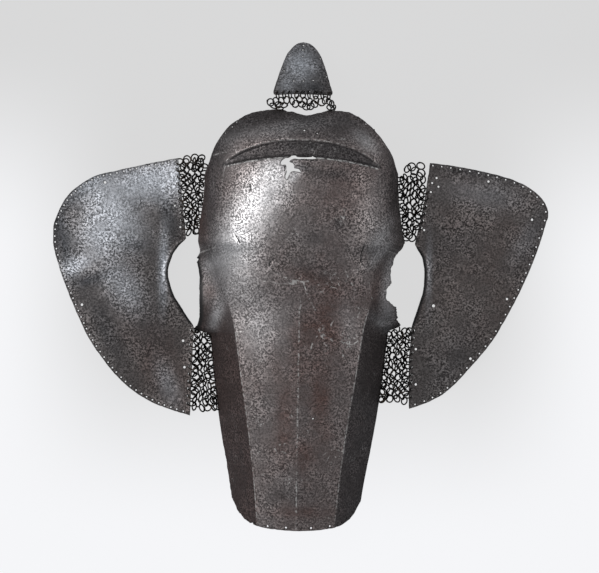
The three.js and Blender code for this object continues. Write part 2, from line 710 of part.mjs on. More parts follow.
// The link at a side panel's cheek plate edge.
function cheekLink(cheek, y) {
  const edge = cheekPoint(cheek, y, 0).add(new THREE.Vector3(0, 0, CHEEK_THICKNESS / 2));
  const further = cheekPoint(cheek, y, LINK_HOLE_INSET).add(new THREE.Vector3(0, 0, CHEEK_THICKNESS / 2));
  const inward = further.sub(edge).setY(0).normalize();
  const normal = new THREE.Vector3(0, cheek.sign, 0).cross(inward).normalize();
  if (normal.z < 0) normal.negate();
  return linkAt(edge, inward, normal, 0);
}

// The link at the face plate's side edge.
function faceLink(sign, y) {
  const edge = facePoint(y, (sign * Math.PI) / 2);
  const normal = faceNormal(y, (sign * Math.PI) / 2).setY(0).normalize();
  const inward = new THREE.Vector3(-normal.z * sign, 0, Math.abs(normal.x));
  return linkAt(edge, inward, normal, WALL_RING_OFFSET);
}

function sidePanel({ name, cheek: side, cheek_run: cheekRun, face_run: faceRun, links }) {
  const cheek = CHEEKS[side];
  const rowShare = (row) => (row + 0.5) / NET_ROWS;
  const cheekLinks = links.map((row) => cheekLink(cheek, mix(...cheekRun, rowShare(row))));
  const faceLinks = links.map((row) => faceLink(cheek.sign, mix(...faceRun, rowShare(row))));
  const outward = new THREE.Vector3(cheek.sign, 0, 0);
  const at = (across, along, above) => {
    const near = cheekLink(cheek, mix(...cheekRun, along)).centre;
    const far = faceLink(cheek.sign, mix(...faceRun, along)).centre;
    near.addScaledVector(outward, -FLAT_EDGE_GAP);
    far.addScaledVector(outward, FLAT_EDGE_GAP);
    const point = near.lerp(far, across);
    const sag = NET_SAG * Math.sin(Math.PI * clamp01(across)) ** 2;
    return point.setZ(point.z - sag + above);
  };
  const middle = 0.5;
  const width = at(0, middle, 0).distanceTo(at(1, middle, 0));
  const length = Math.abs(cheekRun[0] - cheekRun[1]);
  const columns = [NET_GAP_INSET, width / 2, width - NET_GAP_INSET];
  const net = netPanel(width, length, columns, NET_ROWS, at, cheek.sign < 0);
  return { name, side, net, cheekLinks, faceLinks };
}

// The link at the poll plate's base edge.
function pollLink(across) {
  const along = new THREE.Vector3(0, Math.cos(pollLean), -Math.sin(pollLean));
  const edge = pollPoint(across, 0, POLL_THICKNESS / 2);
  const normal = new THREE.Vector3(0, Math.sin(pollLean), Math.cos(pollLean));
  return linkAt(edge, along, normal, 0);
}

// Height of the face plate's outer face at a place seen from above.
function faceHeightAt(x, y) {
  let low = 0;
  let high = Math.PI / 2;
  for (let pass = 0; pass < 40; pass++) {
    const middle = (low + high) / 2;
    if (sectionPoint(y, middle).x < Math.abs(x)) low = middle;
    else high = middle;
  }
  return { angle: Math.sign(x) * low, z: facePoint(y, Math.sign(x) * low).z };
}

// The link at the face plate's top edge.
function topLink(x) {
  const rim = rimPoints(FACE_TOP_RIM, 12);
  const y = rim.reduce((best, p) => (Math.abs(p.x - x) < Math.abs(best.x - x) ? p : best)).y;
  const { angle, z } = faceHeightAt(x, y);
  const normal = faceNormal(y - 1, angle).setX(0).normalize();
  const inward = new THREE.Vector3(0, -normal.z, normal.y);
  return linkAt(new THREE.Vector3(x, y, z), inward, normal, TOP_RING_OFFSET);
}

function pollPanel() {
  const { half_width: half, gaps, poll_links: pollAt, face_links: faceAt } = POLL_PANEL;
  const place = (gap) => mix(-half, half, (gap + 0.5) / gaps);
  const pollLinks = pollAt.map((gap) => pollLink(place(gap)));
  const faceLinks = faceAt.map((gap) => topLink(place(gap + 0.5)));
  const topwards = new THREE.Vector3(0, 1, 0);
  const at = (across, along, above) => {
    const x = mix(-half, half, along);
    const near = pollLink(x).centre.addScaledVector(topwards, -FLAT_EDGE_GAP);
    const far = topLink(x).centre.addScaledVector(topwards, FLAT_EDGE_GAP);
    return near.lerp(far, across).add(new THREE.Vector3(0, 0, above));
  };
  const width = at(0, 0.3, 0).distanceTo(at(1, 0.3, 0));
  const net = netPanel(width, 2 * half, [NET_GAP_INSET, width - NET_GAP_INSET], gaps, at);
  return { name: "poll", net, pollLinks, faceLinks };
}

// ---- assembly ----

const armour = new THREE.Group();
const panels = SIDE_PANELS.map(sidePanel);
const topPanel = pollPanel();
const holesOf = (links) => links.map((link) => link.hole);

armour.add(
  meshOf("face_plate", facePlate(holesOf([...panels, topPanel].flatMap((p) => p.faceLinks))), STEEL),
);
for (const [side, cheek] of Object.entries(CHEEKS)) {
  const links = panels.filter((panel) => panel.side === side).flatMap((panel) => panel.cheekLinks);
  armour.add(meshOf(`cheek_plate_${side}`, cheekPlate(cheek, holesOf(links)), STEEL_LIGHT));
}
armour.add(meshOf("poll_plate", pollPlate(holesOf(topPanel.pollLinks)), STEEL_LIGHT));

function addLinks(name, links) {
  for (const [k, link] of links.entries()) {
    armour.add(meshOf(`${name}_${k + 1}`, solidOf(ringGeometry(link)), MAIL_STEEL));
  }
}
for (const panel of panels) {
  armour.add(meshOf(`mail_${panel.name}`, panel.net, MAIL_STEEL));
  addLinks(`ring_${panel.name}_cheek`, panel.cheekLinks);
  addLinks(`ring_${panel.name}_face`, panel.faceLinks);
}
armour.add(meshOf("mail_poll", topPanel.net, MAIL_STEEL));
addLinks("ring_poll_plate", topPanel.pollLinks);
addLinks("ring_poll_face", topPanel.faceLinks);

// The origin goes to the bottom centre of the whole object's box.
const box = new THREE.Box3().setFromObject(armour);
const centre = box.getCenter(new THREE.Vector3());
armour.position.set(-centre.x, -centre.y, -box.min.z);

export default armour;
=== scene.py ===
"""Looks of a horse's head armour laid open: plates of old pitted steel joined by riveted mail.

The plates are thin sheets cut from one smooth surface each, with their rims, rivet holes, cracks and
corroded edges as real geometry. The mail is woven ring by ring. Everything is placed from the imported
frame, in metres, with +Z out of the outer face and +Y towards the poll.
"""

import logging
import math
from dataclasses import dataclass, field
from enum import Enum
from typing import Callable, NamedTuple, Sequence

import bpy
import numpy as np
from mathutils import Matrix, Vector, geometry, kdtree


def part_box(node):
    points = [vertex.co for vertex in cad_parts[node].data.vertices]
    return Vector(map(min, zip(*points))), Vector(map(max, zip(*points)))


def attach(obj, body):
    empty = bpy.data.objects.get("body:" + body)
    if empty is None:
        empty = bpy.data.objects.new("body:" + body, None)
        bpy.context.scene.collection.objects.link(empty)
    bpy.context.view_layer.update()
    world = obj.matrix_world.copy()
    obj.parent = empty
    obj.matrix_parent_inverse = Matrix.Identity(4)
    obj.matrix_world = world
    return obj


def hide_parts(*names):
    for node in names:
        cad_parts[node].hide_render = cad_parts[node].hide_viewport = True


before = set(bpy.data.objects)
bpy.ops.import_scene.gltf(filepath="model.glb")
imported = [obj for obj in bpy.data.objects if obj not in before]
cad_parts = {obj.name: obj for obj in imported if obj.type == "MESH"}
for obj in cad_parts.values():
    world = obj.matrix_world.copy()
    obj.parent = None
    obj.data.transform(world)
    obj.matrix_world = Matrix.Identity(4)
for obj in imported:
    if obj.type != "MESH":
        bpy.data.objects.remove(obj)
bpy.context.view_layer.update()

log = logging.getLogger("armour")

MM = 0.001
HALF_TURN = math.pi / 2

Array = np.ndarray
Surface = Callable[[Array], Array]


class Side(Enum):
    """Which side of the armour a piece lies on, as the sign of its x."""

    LEFT = -1
    RIGHT = 1

    @property
    def word(self) -> str:
        """The side's name in lower case."""
        return self.name.lower()


# ---- tables, in millimetres ----


class Station(NamedTuple):
    """A cross-section of the face plate."""

    y: float
    half_width: float
    crown: float
    half_front: float
    ridge_drop: float


class Spot(NamedTuple):
    """A place seen from above."""

    x: float
    y: float


class Hole(NamedTuple):
    """A round hole seen from above."""

    x: float
    y: float
    radius: float


FACE_STATIONS = (
    Station(y=240, half_width=116, crown=18, half_front=96, ridge_drop=34),
    Station(y=222, half_width=118, crown=52, half_front=96, ridge_drop=34),
    Station(y=212, half_width=119, crown=66, half_front=96, ridge_drop=34),
    Station(y=200, half_width=120, crown=78, half_front=96, ridge_drop=34),
    Station(y=182, half_width=121.5, crown=90, half_front=96, ridge_drop=34),
    Station(y=161, half_width=122.5, crown=98, half_front=96, ridge_drop=34),
    Station(y=140, half_width=123, crown=103.5, half_front=96, ridge_drop=34),
    Station(y=108, half_width=124.6, crown=107.5, half_front=96, ridge_drop=34),
    Station(y=88, half_width=127.3, crown=108.5, half_front=96, ridge_drop=34),
    Station(y=68, half_width=129.5, crown=108.3, half_front=95, ridge_drop=34),
    Station(y=55, half_width=130.5, crown=107.6, half_front=95, ridge_drop=34),
    Station(y=38, half_width=122, crown=106.5, half_front=94, ridge_drop=34),
    Station(y=20, half_width=119, crown=105, half_front=93, ridge_drop=33),
    Station(y=-20, half_width=117.5, crown=100.5, half_front=87, ridge_drop=29),
    Station(y=-64, half_width=113, crown=95.5, half_front=79.5, ridge_drop=21),
    Station(y=-116, half_width=107.5, crown=89.5, half_front=72, ridge_drop=15),
    Station(y=-160, half_width=101.5, crown=84.5, half_front=65, ridge_drop=12.5),
    Station(y=-208, half_width=93.7, crown=79.5, half_front=58.5, ridge_drop=10.5),
    Station(y=-250, half_width=86, crown=75, half_front=53.5, ridge_drop=9.5),
    Station(y=-320, half_width=76, crown=68, half_front=47.5, ridge_drop=8),
)

# Height of the face plate's side edges above the surface that it lies on: x is y along the plate.
EDGE_HEIGHTS = (
    Spot(240, 5.6), Spot(75, 5.6), Spot(62, 0), Spot(30, 0),
    Spot(-20, 5.6), Spot(-175, 5.6), Spot(-200, 0), Spot(-320, 0),
)

FACE_TOP_RIM = (
    Spot(-131, 127), Spot(-119.5, 149), Spot(-110, 175), Spot(-96, 196), Spot(-81, 209.5),
    Spot(-66, 217), Spot(-45, 221.5), Spot(-28, 222.8), Spot(-8, 218.4), Spot(4, 215.3),
    Spot(15, 217.6), Spot(36, 222.6), Spot(54, 221.5), Spot(71, 214.5), Spot(86, 203),
    Spot(102, 185), Spot(114, 167), Spot(120.5, 149), Spot(131, 127),
)
FACE_BOTTOM_RIM = (
    Spot(-90, -262), Spot(-79, -278), Spot(-73, -289), Spot(-62, -299), Spot(-48, -304),
    Spot(-24, -308), Spot(0, -309), Spot(24, -308), Spot(48, -304.5), Spot(62, -299.5),
    Spot(73, -290), Spot(79, -279), Spot(90, -262),
)

# Metal lost from the forehead: a corroded gap with a thin crack that follows the lower crease.
FOREHEAD_GAP = (
    Spot(-25, 156.5), Spot(-21, 159.4), Spot(-17.6, 160.4), Spot(-13.8, 162.6), Spot(-8.5, 163.2),
    Spot(-3.9, 162), Spot(5.7, 161.9), Spot(14.3, 162.6), Spot(19, 160.4), Spot(14.5, 158.6),
    Spot(5.8, 158.2), Spot(-3.9, 158.2), Spot(-8.5, 158.9), Spot(-11.5, 158.2), Spot(-13.8, 157),
    Spot(-15.4, 154.8), Spot(-11, 153), Spot(-9.4, 149.6), Spot(-9.2, 147), Spot(-3.7, 145.9),
    Spot(-1, 141.8), Spot(-4, 142.3), Spot(-9.5, 143), Spot(-13, 142.2), Spot(-15.2, 139.2),
    Spot(-17, 135.2), Spot(-18.6, 132.8), Spot(-19.9, 134.2), Spot(-20.1, 138), Spot(-18.6, 141.8),
    Spot(-19.4, 146.4), Spot(-20.8, 151), Spot(-24.5, 150.6), Spot(-26.6, 152.8),
)

# Small holes and punctures of the face plate.
FACE_HOLES = (
    Hole(-83, 205.4, 1.0), Hole(-88.6, 198.9, 1.0), Hole(-97.4, 191, 1.0), Hole(80.2, 205.5, 1.0),
    Hole(90.6, 198, 1.0), Hole(-60.9, -296.4, 1.2), Hole(-52.2, -299.6, 1.2), Hole(-35.5, -303.2, 1.2),
    Hole(-12.4, -304.6, 1.2), Hole(19.3, -304.6, 1.2), Hole(43, -302, 1.1), Hole(57.6, -297.6, 1.2),
    Hole(64.5, -293.2, 1.2), Hole(2.6, 195.3, 1.2), Hole(18.9, 191.7, 0.9), Hole(19.4, -166.6, 0.9),
)

# Pale scars and dark cracks of the face plate, each a short run of x and y places.
FACE_SCARS = (
    ((1, 12), (-3, 5), (4, 4.5), (9, -9), (15, -21), (21, -31)),
    ((4, 5), (13, 6.5), (21, 9.5)),
    ((-46, 4.5), (-38, 5.5), (-31, 3), (-24, 1), (-17, 3.5), (-9, 2), (-3, 4)),
    ((-28, 15), (-18, 10), (-8, 6.5), (-2, 5)),
    ((64, 5), (68, -1), (70, -7), (67, -14)),
    ((87, 5), (88, -4), (89, -11), (92, -15)),
    ((27, -46), (31, -52), (29, -58), (35, -64), (41, -66)),
    ((44, -42), (40, -49), (43, -56)),
    ((-33, 31), (-29, 29.5), (-27, 27)),
    ((56, 20), (60, 12), (57, 6)),
    ((-1, -14), (2, -22), (0, -30)),
    ((-30, -196), (-22, -200), (-14, -198)),
    ((72, -24), (76, -31), (73, -38)),
    ((22, -64), (27, -62), (31, -66), (38, -67), (46, -70)),
    ((17, -72), (15, -79)),
    ((32, -72), (37, -78), (33, -82)),
    ((26, -50), (25, -57), (30, -61)),
    ((55, -85), (58, -91)),
    ((-28, -205), (-24, -212), (-18, -209), (-10, -213)),
    ((-52, -214), (-47, -209)),
    ((-115, 161), (-104, 165), (-92, 167)),
)
FACE_CRACKS = (
    ((79.5, 51), (78, 46), (76.2, 41), (76.2, 36), (75.6, 32)),
    ((-33, 32.5), (-37.6, 29), (-38.6, 24)),
    ((-64, 126), (-63, 122), (-64, 118)),
    ((-81, 61), (-78, 57), (-76, 53)),
    ((-23.5, 153), (-21, 148.5), (-21.5, 143.5)),
    ((-3, 158), (8, 157), (20, 157.6)),
)


class Blotch(NamedTuple):
    """A soft patch of colour seen from above: half its length and breadth, its turn and its strength."""

    x: float
    y: float
    long: float
    broad: float
    turn: float
    amount: float


# Where the face plate is rubbed bright, with painted highlights along the left forehead, the eye lobes and the right
# brow;
# where it is gone red-brown; and where it is gone dark, with painted shade at the top edge and the forehead's sides.
FACE_POLISH_AND_HIGHLIGHT = (
    Blotch(-34, 138, 26, 20, 60, 0.9), Blotch(-56, 100, 40, 24, 60, 1.0), Blotch(-80, 58, 28, 20, 65, 0.95),
    Blotch(-108, 28, 14, 8, 20, 0.8), Blotch(-104, -38, 22, 7, 70, 0.75), Blotch(-78, 12, 40, 26, 80, 0.5),
    Blotch(-50, -50, 34, 26, 90, 0.35), Blotch(80, 183, 18, 9, -42, 0.5), Blotch(113, 16, 26, 7, 80, 0.75),
    Blotch(104, 44, 20, 5, 50, 0.6), Blotch(-30, 196, 60, 9, 10, 0.25), Blotch(60, -40, 30, 14, 100, 0.2),
    Blotch(-10, 136, 8, 5, 50, 0.8), Blotch(90, 100, 34, 16, 90, 0.15), Blotch(-92, 40, 30, 16, 60, 0.8),
    Blotch(102, 62, 26, 10, 60, 0.45), Blotch(112, -30, 18, 8, 100, 0.5), Blotch(104, -46, 16, 7, 140, 0.5),
)
FACE_RUST = (
    Blotch(40, -58, 28, 22, 90, 0.8), Blotch(28, -146, 50, 14, 95, 0.8), Blotch(-16, -170, 54, 14, 85, 0.7),
    Blotch(30, -10, 50, 30, 90, 0.4), Blotch(-120, 100, 40, 10, 90, 0.5), Blotch(50, 110, 50, 36, 90, 0.25),
    Blotch(5, -285, 40, 8, 0, 0.5), Blotch(-112, -8, 12, 8, 90, 0.6), Blotch(0, -90, 40, 12, 90, 0.5),
    Blotch(14, -50, 26, 16, 60, 0.7), Blotch(10, -210, 30, 12, 90, 0.6), Blotch(50, -20, 30, 20, 40, 0.5),
    Blotch(8, 12, 30, 10, -20, 0.6), Blotch(-30, -90, 40, 14, 100, 0.35), Blotch(96, -2, 26, 9, 80, 0.6),
)
# Dark patches, with painted shade where the top edge and the forehead's sides turn away from the light.
FACE_SOOT_AND_SHADE = (
    Blotch(40, 140, 30, 8, 0, 0.6), Blotch(49.6, 79, 9, 8, 0, 0.6), Blotch(-8, -262, 30, 10, 0, 0.4),
    Blotch(14, 60, 14, 9, 0, 0.35), Blotch(30, 14, 12, 8, 0, 0.35), Blotch(-60, 214, 60, 9, 10, 0.5),
    Blotch(60, 212, 30, 8, -20, 0.3), Blotch(-105, 172, 24, 10, 60, 0.3), Blotch(98, 58, 12, 7, 40, 0.5),
    Blotch(-114, 110, 60, 12, 90, 0.6), Blotch(-80, 196, 40, 14, 20, 0.5), Blotch(116, 110, 60, 8, 90, 0.5),
    Blotch(0, 208, 60, 9, 0, 0.5), Blotch(2, 148, 18, 6, -10, 0.7), Blotch(6, 24, 30, 12, -10, 0.35),
    Blotch(-90, 186, 40, 16, 40, 0.5), Blotch(30, 196, 60, 14, 0, 0.35), Blotch(90, 50, 16, 9, 100, 0.3),
)

POLL_HALF_OUTLINE = (
    Spot(34.5, 0), Spot(36.8, 1.2), Spot(37.7, 4.5), Spot(35.8, 12.5), Spot(31, 31),
    Spot(26.2, 48), Spot(21, 62), Spot(14.5, 72), Spot(7.5, 78.5), Spot(0, 80.6),
)
POLL_HOLES = (
    Hole(-11.8, 20.5, 1.0), Hole(0.3, 20.4, 1.0), Hole(12.8, 21.6, 1.0), Hole(29.5, 28.4, 0.9),
    Hole(21.5, 55.6, 0.9), Hole(-24.5, 36.4, 0.9), Hole(-17.7, 59.4, 0.9), Hole(-0.3, 75.6, 1.1),
    Hole(-0.9, 68.4, 1.1), Hole(-0.9, 58.1, 0.9),
)


# ---- numbers ----


def smoothstep(start: float, end: float, value: Array) -> Array:
    """Rises smoothly from 0 at start to 1 at end."""
    t = np.clip((np.asarray(value, float) - start) / (end - start), 0, 1)
    return t * t * (3 - 2 * t)


def mix(a: Array, b: Array, t: Array) -> Array:
    """Straight blend from a at t = 0 to b at t = 1."""
    return a + (b - a) * t


class Curve:
    """A smooth curve through a table's rows that never overshoots them."""

    def __init__(self, rows: Sequence[tuple[float, float]]) -> None:
        """Fits the curve.

        Args:
            rows: pairs of a place and its value, in any order.
        """
        ordered = sorted((float(x), float(y)) for x, y in rows)
        self.xs = np.array([x for x, _ in ordered])
        self.ys = np.array([y for _, y in ordered])
        secants = np.diff(self.ys) / np.diff(self.xs)
        before = np.concatenate([secants[:1], secants])
        after = np.concatenate([secants, secants[-1:]])
        total = before + after
        agree = before * after > 0
        self.slopes = np.where(agree, 2 * before * after / np.where(agree, total, 1), 0.0)

    def __call__(self, x: Array) -> Array:
        """The curve's value at x, held flat past both ends."""
        x = np.clip(np.asarray(x, float), self.xs[0], self.xs[-1])
        i = np.clip(np.searchsorted(self.xs, x, side="right") - 1, 0, len(self.xs) - 2)
        span = self.xs[i + 1] - self.xs[i]
        t = (x - self.xs[i]) / span
        u = 1 - t
        return (
            self.ys[i] * (1 + 2 * t) * u * u
            + self.ys[i + 1] * (3 - 2 * t) * t * t
            + span * t * u * (self.slopes[i] * u - self.slopes[i + 1] * t)
        )


def spline(spots: Sequence[Sequence[float]], step: float) -> Array:
    """A smooth line through spots.

    Args:
        spots: the places it passes, in order.
        step: the wanted distance between points.

    Returns:
        An array of points, both ends included.
    """
    points = np.array([tuple(s)[:2] for s in spots], float)
    padded = np.vstack([points[:1], points, points[-1:]])
    line = [points[:1]]
    for i in range(len(points) - 1):
        p0, p1, p2, p3 = padded[i : i + 4]
        count = max(1, int(np.linalg.norm(p2 - p1) / step))
        t = (np.arange(1, count + 1) / count)[:, None]
        v0, v1 = (p2 - p0) / 2, (p3 - p1) / 2
        cubic = (2 * p1 - 2 * p2 + v0 + v1) * t**3 + (-3 * p1 + 3 * p2 - 2 * v0 - v1) * t**2
        line.append(cubic + v0 * t + p1)
    return np.vstack(line)


def circle(x: float, y: float, radius: float, count: int = 12) -> Array:
    """A closed ring of points around a hole."""
    turn = np.arange(count) / count * math.tau
    return np.stack([x + radius * np.cos(turn), y + radius * np.sin(turn)], 1)


def wander(along: Array, wavelength: float, seed: int) -> Array:
    """Smooth noise from 0 to 1 along a line.

    Args:
        along: distance along the line.
        wavelength: distance between the noise's own values.
        seed: picks the noise.

    Returns:
        One value for each distance.
    """
    values = np.random.default_rng(seed).random(4096)
    place = np.asarray(along) / wavelength
    i = np.floor(place).astype(int)
    t = place - i
    return mix(values[i % 4096], values[(i + 1) % 4096], t * t * (3 - 2 * t))


def hills(xy: Array, wavelength: float, seed: int) -> Array:
    """Smooth noise from -1 to 1 over a plane.

    Args:
        xy: places as an array of pairs.
        wavelength: distance between hills.
        seed: picks the noise.

    Returns:
        One value for each place.
    """
    size = 256
    values = np.random.default_rng(seed).random((size, size)) * 2 - 1
    place = xy / wavelength + 1000
    i = np.floor(place).astype(int)
    t = place - i
    t = t * t * t * (t * (6 * t - 15) + 10)
    x0, y0 = i[:, 0] % size, i[:, 1] % size
    x1, y1 = (x0 + 1) % size, (y0 + 1) % size
    low = mix(values[x0, y0], values[x1, y0], t[:, 0])
    high = mix(values[x0, y1], values[x1, y1], t[:, 0])
    return mix(low, high, t[:, 1])


def resampled(loop: Array, step: float) -> Array:
    """The closed loop with its points a step apart."""
    closed = np.vstack([loop, loop[:1]])
    lengths = np.linalg.norm(np.diff(closed, axis=0), axis=1)
    along = np.concatenate([[0], np.cumsum(lengths)])
    places = np.linspace(0, along[-1], max(8, int(along[-1] / step)), endpoint=False)
    return np.stack([np.interp(places, along, closed[:, k]) for k in range(2)], 1)


def eaten(loop: Array, depth: Callable[[Array], Array], seed: int, step: float = 1.1) -> Array:
    """The loop with its edge corroded inwards.

    Args:
        loop: a closed outline, anticlockwise.
        depth: gives how deep the corrosion bites at each point.
        seed: picks the noise.
        step: distance between the new points.

    Returns:
        The corroded outline.
    """
    loop = resampled(loop, step)
    ahead, behind = np.roll(loop, -2, axis=0), np.roll(loop, 2, axis=0)
    tangent = ahead - behind
    tangent /= np.linalg.norm(tangent, axis=1)[:, None] + 1e-9
    inward = np.stack([-tangent[:, 1], tangent[:, 0]], 1)
    along = np.arange(len(loop)) * step
    bite = 0.5 * wander(along, 9, seed) ** 2 + 0.3 * wander(along, 3.5, seed + 1) ** 2
    bite += 0.2 * wander(along, 1.6, seed + 2)
    return loop + inward * (bite * depth(loop))[:, None]


def inside(points: Array, loops: Sequence[Array]) -> Array:
    """Which points lie inside the outline and outside its holes, by counting crossings."""
    starts = np.vstack(loops)
    ends = np.vstack([np.roll(loop, -1, axis=0) for loop in loops])
    result = np.zeros(len(points), bool)
    chunk = 2000
    for first in range(0, len(points), chunk):
        p = points[first : first + chunk, None, :]
        crosses = (starts[None, :, 1] > p[..., 1]) != (ends[None, :, 1] > p[..., 1])
        rise = ends[:, 1] - starts[:, 1]
        rise = np.where(np.abs(rise) < 1e-12, 1e-12, rise)
        at = starts[None, :, 0] + (p[..., 1] - starts[None, :, 1]) / rise * (ends - starts)[None, :, 0]
        result[first : first + chunk] = (np.sum(crosses & (p[..., 0] < at), axis=1) % 2) == 1
    return result


def painted(spots: Array, blotches: Sequence[Blotch]) -> Array:
    """How strongly soft patches cover places seen from above, from 0 to 1."""
    bare = np.ones(len(spots))
    for blotch in blotches:
        turn = math.radians(blotch.turn)
        dx, dy = spots[:, 0] - blotch.x, spots[:, 1] - blotch.y
        along = dx * math.cos(turn) + dy * math.sin(turn)
        across = dy * math.cos(turn) - dx * math.sin(turn)
        cover = np.exp(-((along / blotch.long) ** 2 + (across / blotch.broad) ** 2))
        bare *= 1 - blotch.amount * cover
    return 1 - bare


def fields(count: int, **given: Array) -> dict[str, Array]:
    """The fields that every plate carries for its finish.

    Args:
        count: of points.
        given: the fields that this plate sets itself.

    Returns:
        Distances in millimetres from the edge, the lip, two creases, the ridge, the keel, the scars and the cracks,
        far away unless given, and the strengths of polish and painted highlight, rust, and soot and painted shade, 0
        unless given.
    """
    lines = ("rim", "lip", "low_crease", "high_crease", "ridge", "keel", "scar", "crack")
    far = {name: np.full(count, 99.0) for name in lines}
    none = {name: np.zeros(count) for name in ("polish", "rust", "soot")}
    return {**far, **none, **given}


def nearest(points: Array, lines: Sequence[Array]) -> Array:
    """The distance from each point to the nearest of some finely divided lines."""
    spots = np.vstack(lines)
    tree = kdtree.KDTree(len(spots))
    for i, (x, y) in enumerate(spots):
        tree.insert((x, y, 0), i)
    tree.balance()
    return np.array([tree.find((x, y, 0))[2] for x, y in points])


# ---- sheet metal ----


@dataclass
class Sheet:
    """A thin plate cut from a surface: flat outline and holes first, then bent into shape.

    Args:
        name: the piece's name.
        outline: the closed outline in the sheet's own flat plane, in millimetres.
        holes: closed loops cut out of it.
        creases: open lines that the mesh has to follow.
        surface: bends flat points into outer face points, in millimetres.
        thickness: of the metal, in millimetres.
        spacing: between mesh points, in millimetres.
        lowest: no point lies below this height.
    """

    name: str
    outline: Array
    holes: list[Array]
    creases: list[Array]
    surface: Surface
    thickness: float
    spacing: float = 2.4
    lowest: float = 0.0

    def flat_mesh(self) -> tuple[Array, Array]:
        """Triangulates the flat sheet.

        Returns:
            The points and the triangles, anticlockwise.
        """
        loops = [self.outline, *self.holes]
        low, high = self.outline.min(0), self.outline.max(0)
        rise = self.spacing * math.sqrt(3) / 2
        rows = np.arange(low[1], high[1], rise)
        grid = np.vstack([
            np.stack([np.arange(low[0] + (j % 2) * self.spacing / 2, high[0], self.spacing)] * 2, 1)
            * [1, 0] + [0, y]
            for j, y in enumerate(rows)
        ])
        grid += np.random.default_rng(7).uniform(-0.08, 0.08, grid.shape) * self.spacing
        borders = np.vstack(loops + self.creases)
        tree = kdtree.KDTree(len(borders))
        for i, (x, y) in enumerate(borders):
            tree.insert((x, y, 0), i)
        tree.balance()
        clear = 0.62 * self.spacing
        grid = grid[inside(grid, loops)]
        far = np.array([tree.find((x, y, 0))[2] > clear for x, y in grid])
        points = np.vstack([borders, grid[far]])
        edges, first = [], 0
        for loop in loops:
            n = len(loop)
            edges += [(first + i, first + (i + 1) % n) for i in range(n)]
            first += n
        for line in self.creases:
            edges += [(first + i, first + i + 1) for i in range(len(line) - 1)]
            first += len(line)
        made = geometry.delaunay_2d_cdt([Vector(p) for p in points], edges, [], 0, 1e-4, False)
        flat = np.array([tuple(v) for v in made[0]])
        triangles = np.array(made[2])
        corners = flat[triangles]
        u, v = corners[:, 1] - corners[:, 0], corners[:, 2] - corners[:, 0]
        area = u[:, 0] * v[:, 1] - u[:, 1] * v[:, 0]
        triangles = triangles[area > 1e-5]
        kept = inside(flat[triangles].mean(1), loops)
        return flat, triangles[kept]

    def build(self, masks: Callable[[Array, Array], dict[str, Array]]) -> bpy.types.Object:
        """Makes the plate with both faces and its edges.

        Args:
            masks: gives named masks for flat points and their distance from the nearest edge.

        Returns:
            The plate.
        """
        flat, triangles = self.flat_mesh()
        used = np.unique(triangles)
        renumber = np.full(len(flat), -1)
        renumber[used] = np.arange(len(used))
        flat, triangles = flat[used], renumber[triangles]
        outer = self.surface(flat)
        tiny = 0.05
        along_u = self.surface(flat + [tiny, 0]) - self.surface(flat - [tiny, 0])
        along_v = self.surface(flat + [0, tiny]) - self.surface(flat - [0, tiny])
        normal = np.cross(along_u, along_v)
        normal /= np.linalg.norm(normal, axis=1)[:, None] + 1e-12
        inner = outer - normal * self.thickness
        inner[:, 2] = np.maximum(inner[:, 2], self.lowest)
        outer[:, 2] = np.maximum(outer[:, 2], self.lowest)

        n = len(flat)
        pairs = np.vstack([triangles[:, [0, 1]], triangles[:, [1, 2]], triangles[:, [2, 0]]])
        keys = pairs[:, 0] * n + pairs[:, 1]
        twins = pairs[:, 1] * n + pairs[:, 0]
        rim = pairs[~np.isin(keys, twins)]
        walls = np.stack([rim[:, 1], rim[:, 0], rim[:, 0] + n, rim[:, 1] + n], 1)

        mesh = bpy.data.meshes.new(self.name)
        faces = triangles.tolist() + (triangles[:, ::-1] + n).tolist() + walls.tolist()
        mesh.from_pydata((np.vstack([outer, inner]) * MM).tolist(), [], faces)
        mesh.polygons.foreach_set("use_smooth", [True] * len(faces))
        sharp = set((np.minimum(rim[:, 0], rim[:, 1]) * 2 * n + np.maximum(rim[:, 0], rim[:, 1])).tolist())
        ends = np.zeros(len(mesh.edges) * 2, int)
        mesh.edges.foreach_get("vertices", ends)
        ends = np.sort(ends.reshape(-1, 2) % n, axis=1)
        is_sharp = np.isin(ends[:, 0] * 2 * n + ends[:, 1], list(sharp))
        mesh.attributes.new("sharp_edge", "BOOLEAN", "EDGE").data.foreach_set("value", is_sharp)

        rim_points = flat[np.unique(rim)]
        tree = kdtree.KDTree(len(rim_points))
        for i, (x, y) in enumerate(rim_points):
            tree.insert((x, y, 0), i)
        tree.balance()
        from_edge = np.array([tree.find((x, y, 0))[2] for x, y in flat])
        for name, values in masks(flat, from_edge).items():
            both = np.concatenate([values, values]).astype(np.float32)
            mesh.attributes.new(name, "FLOAT", "POINT").data.foreach_set("value", both)
        piece = bpy.data.objects.new(self.name, mesh)
        bpy.context.scene.collection.objects.link(piece)
        log.info("%s: %d points, %d faces", self.name, len(mesh.vertices), len(mesh.polygons))
        return piece


# ---- the face plate ----


@dataclass(frozen=True)
class Eye:
    """An eye cut-out: an ellipse in side view, with a lip that flares outwards."""

    y: float
    half_length: float
    height: float
    flare_top: float
    flare_bottom: float


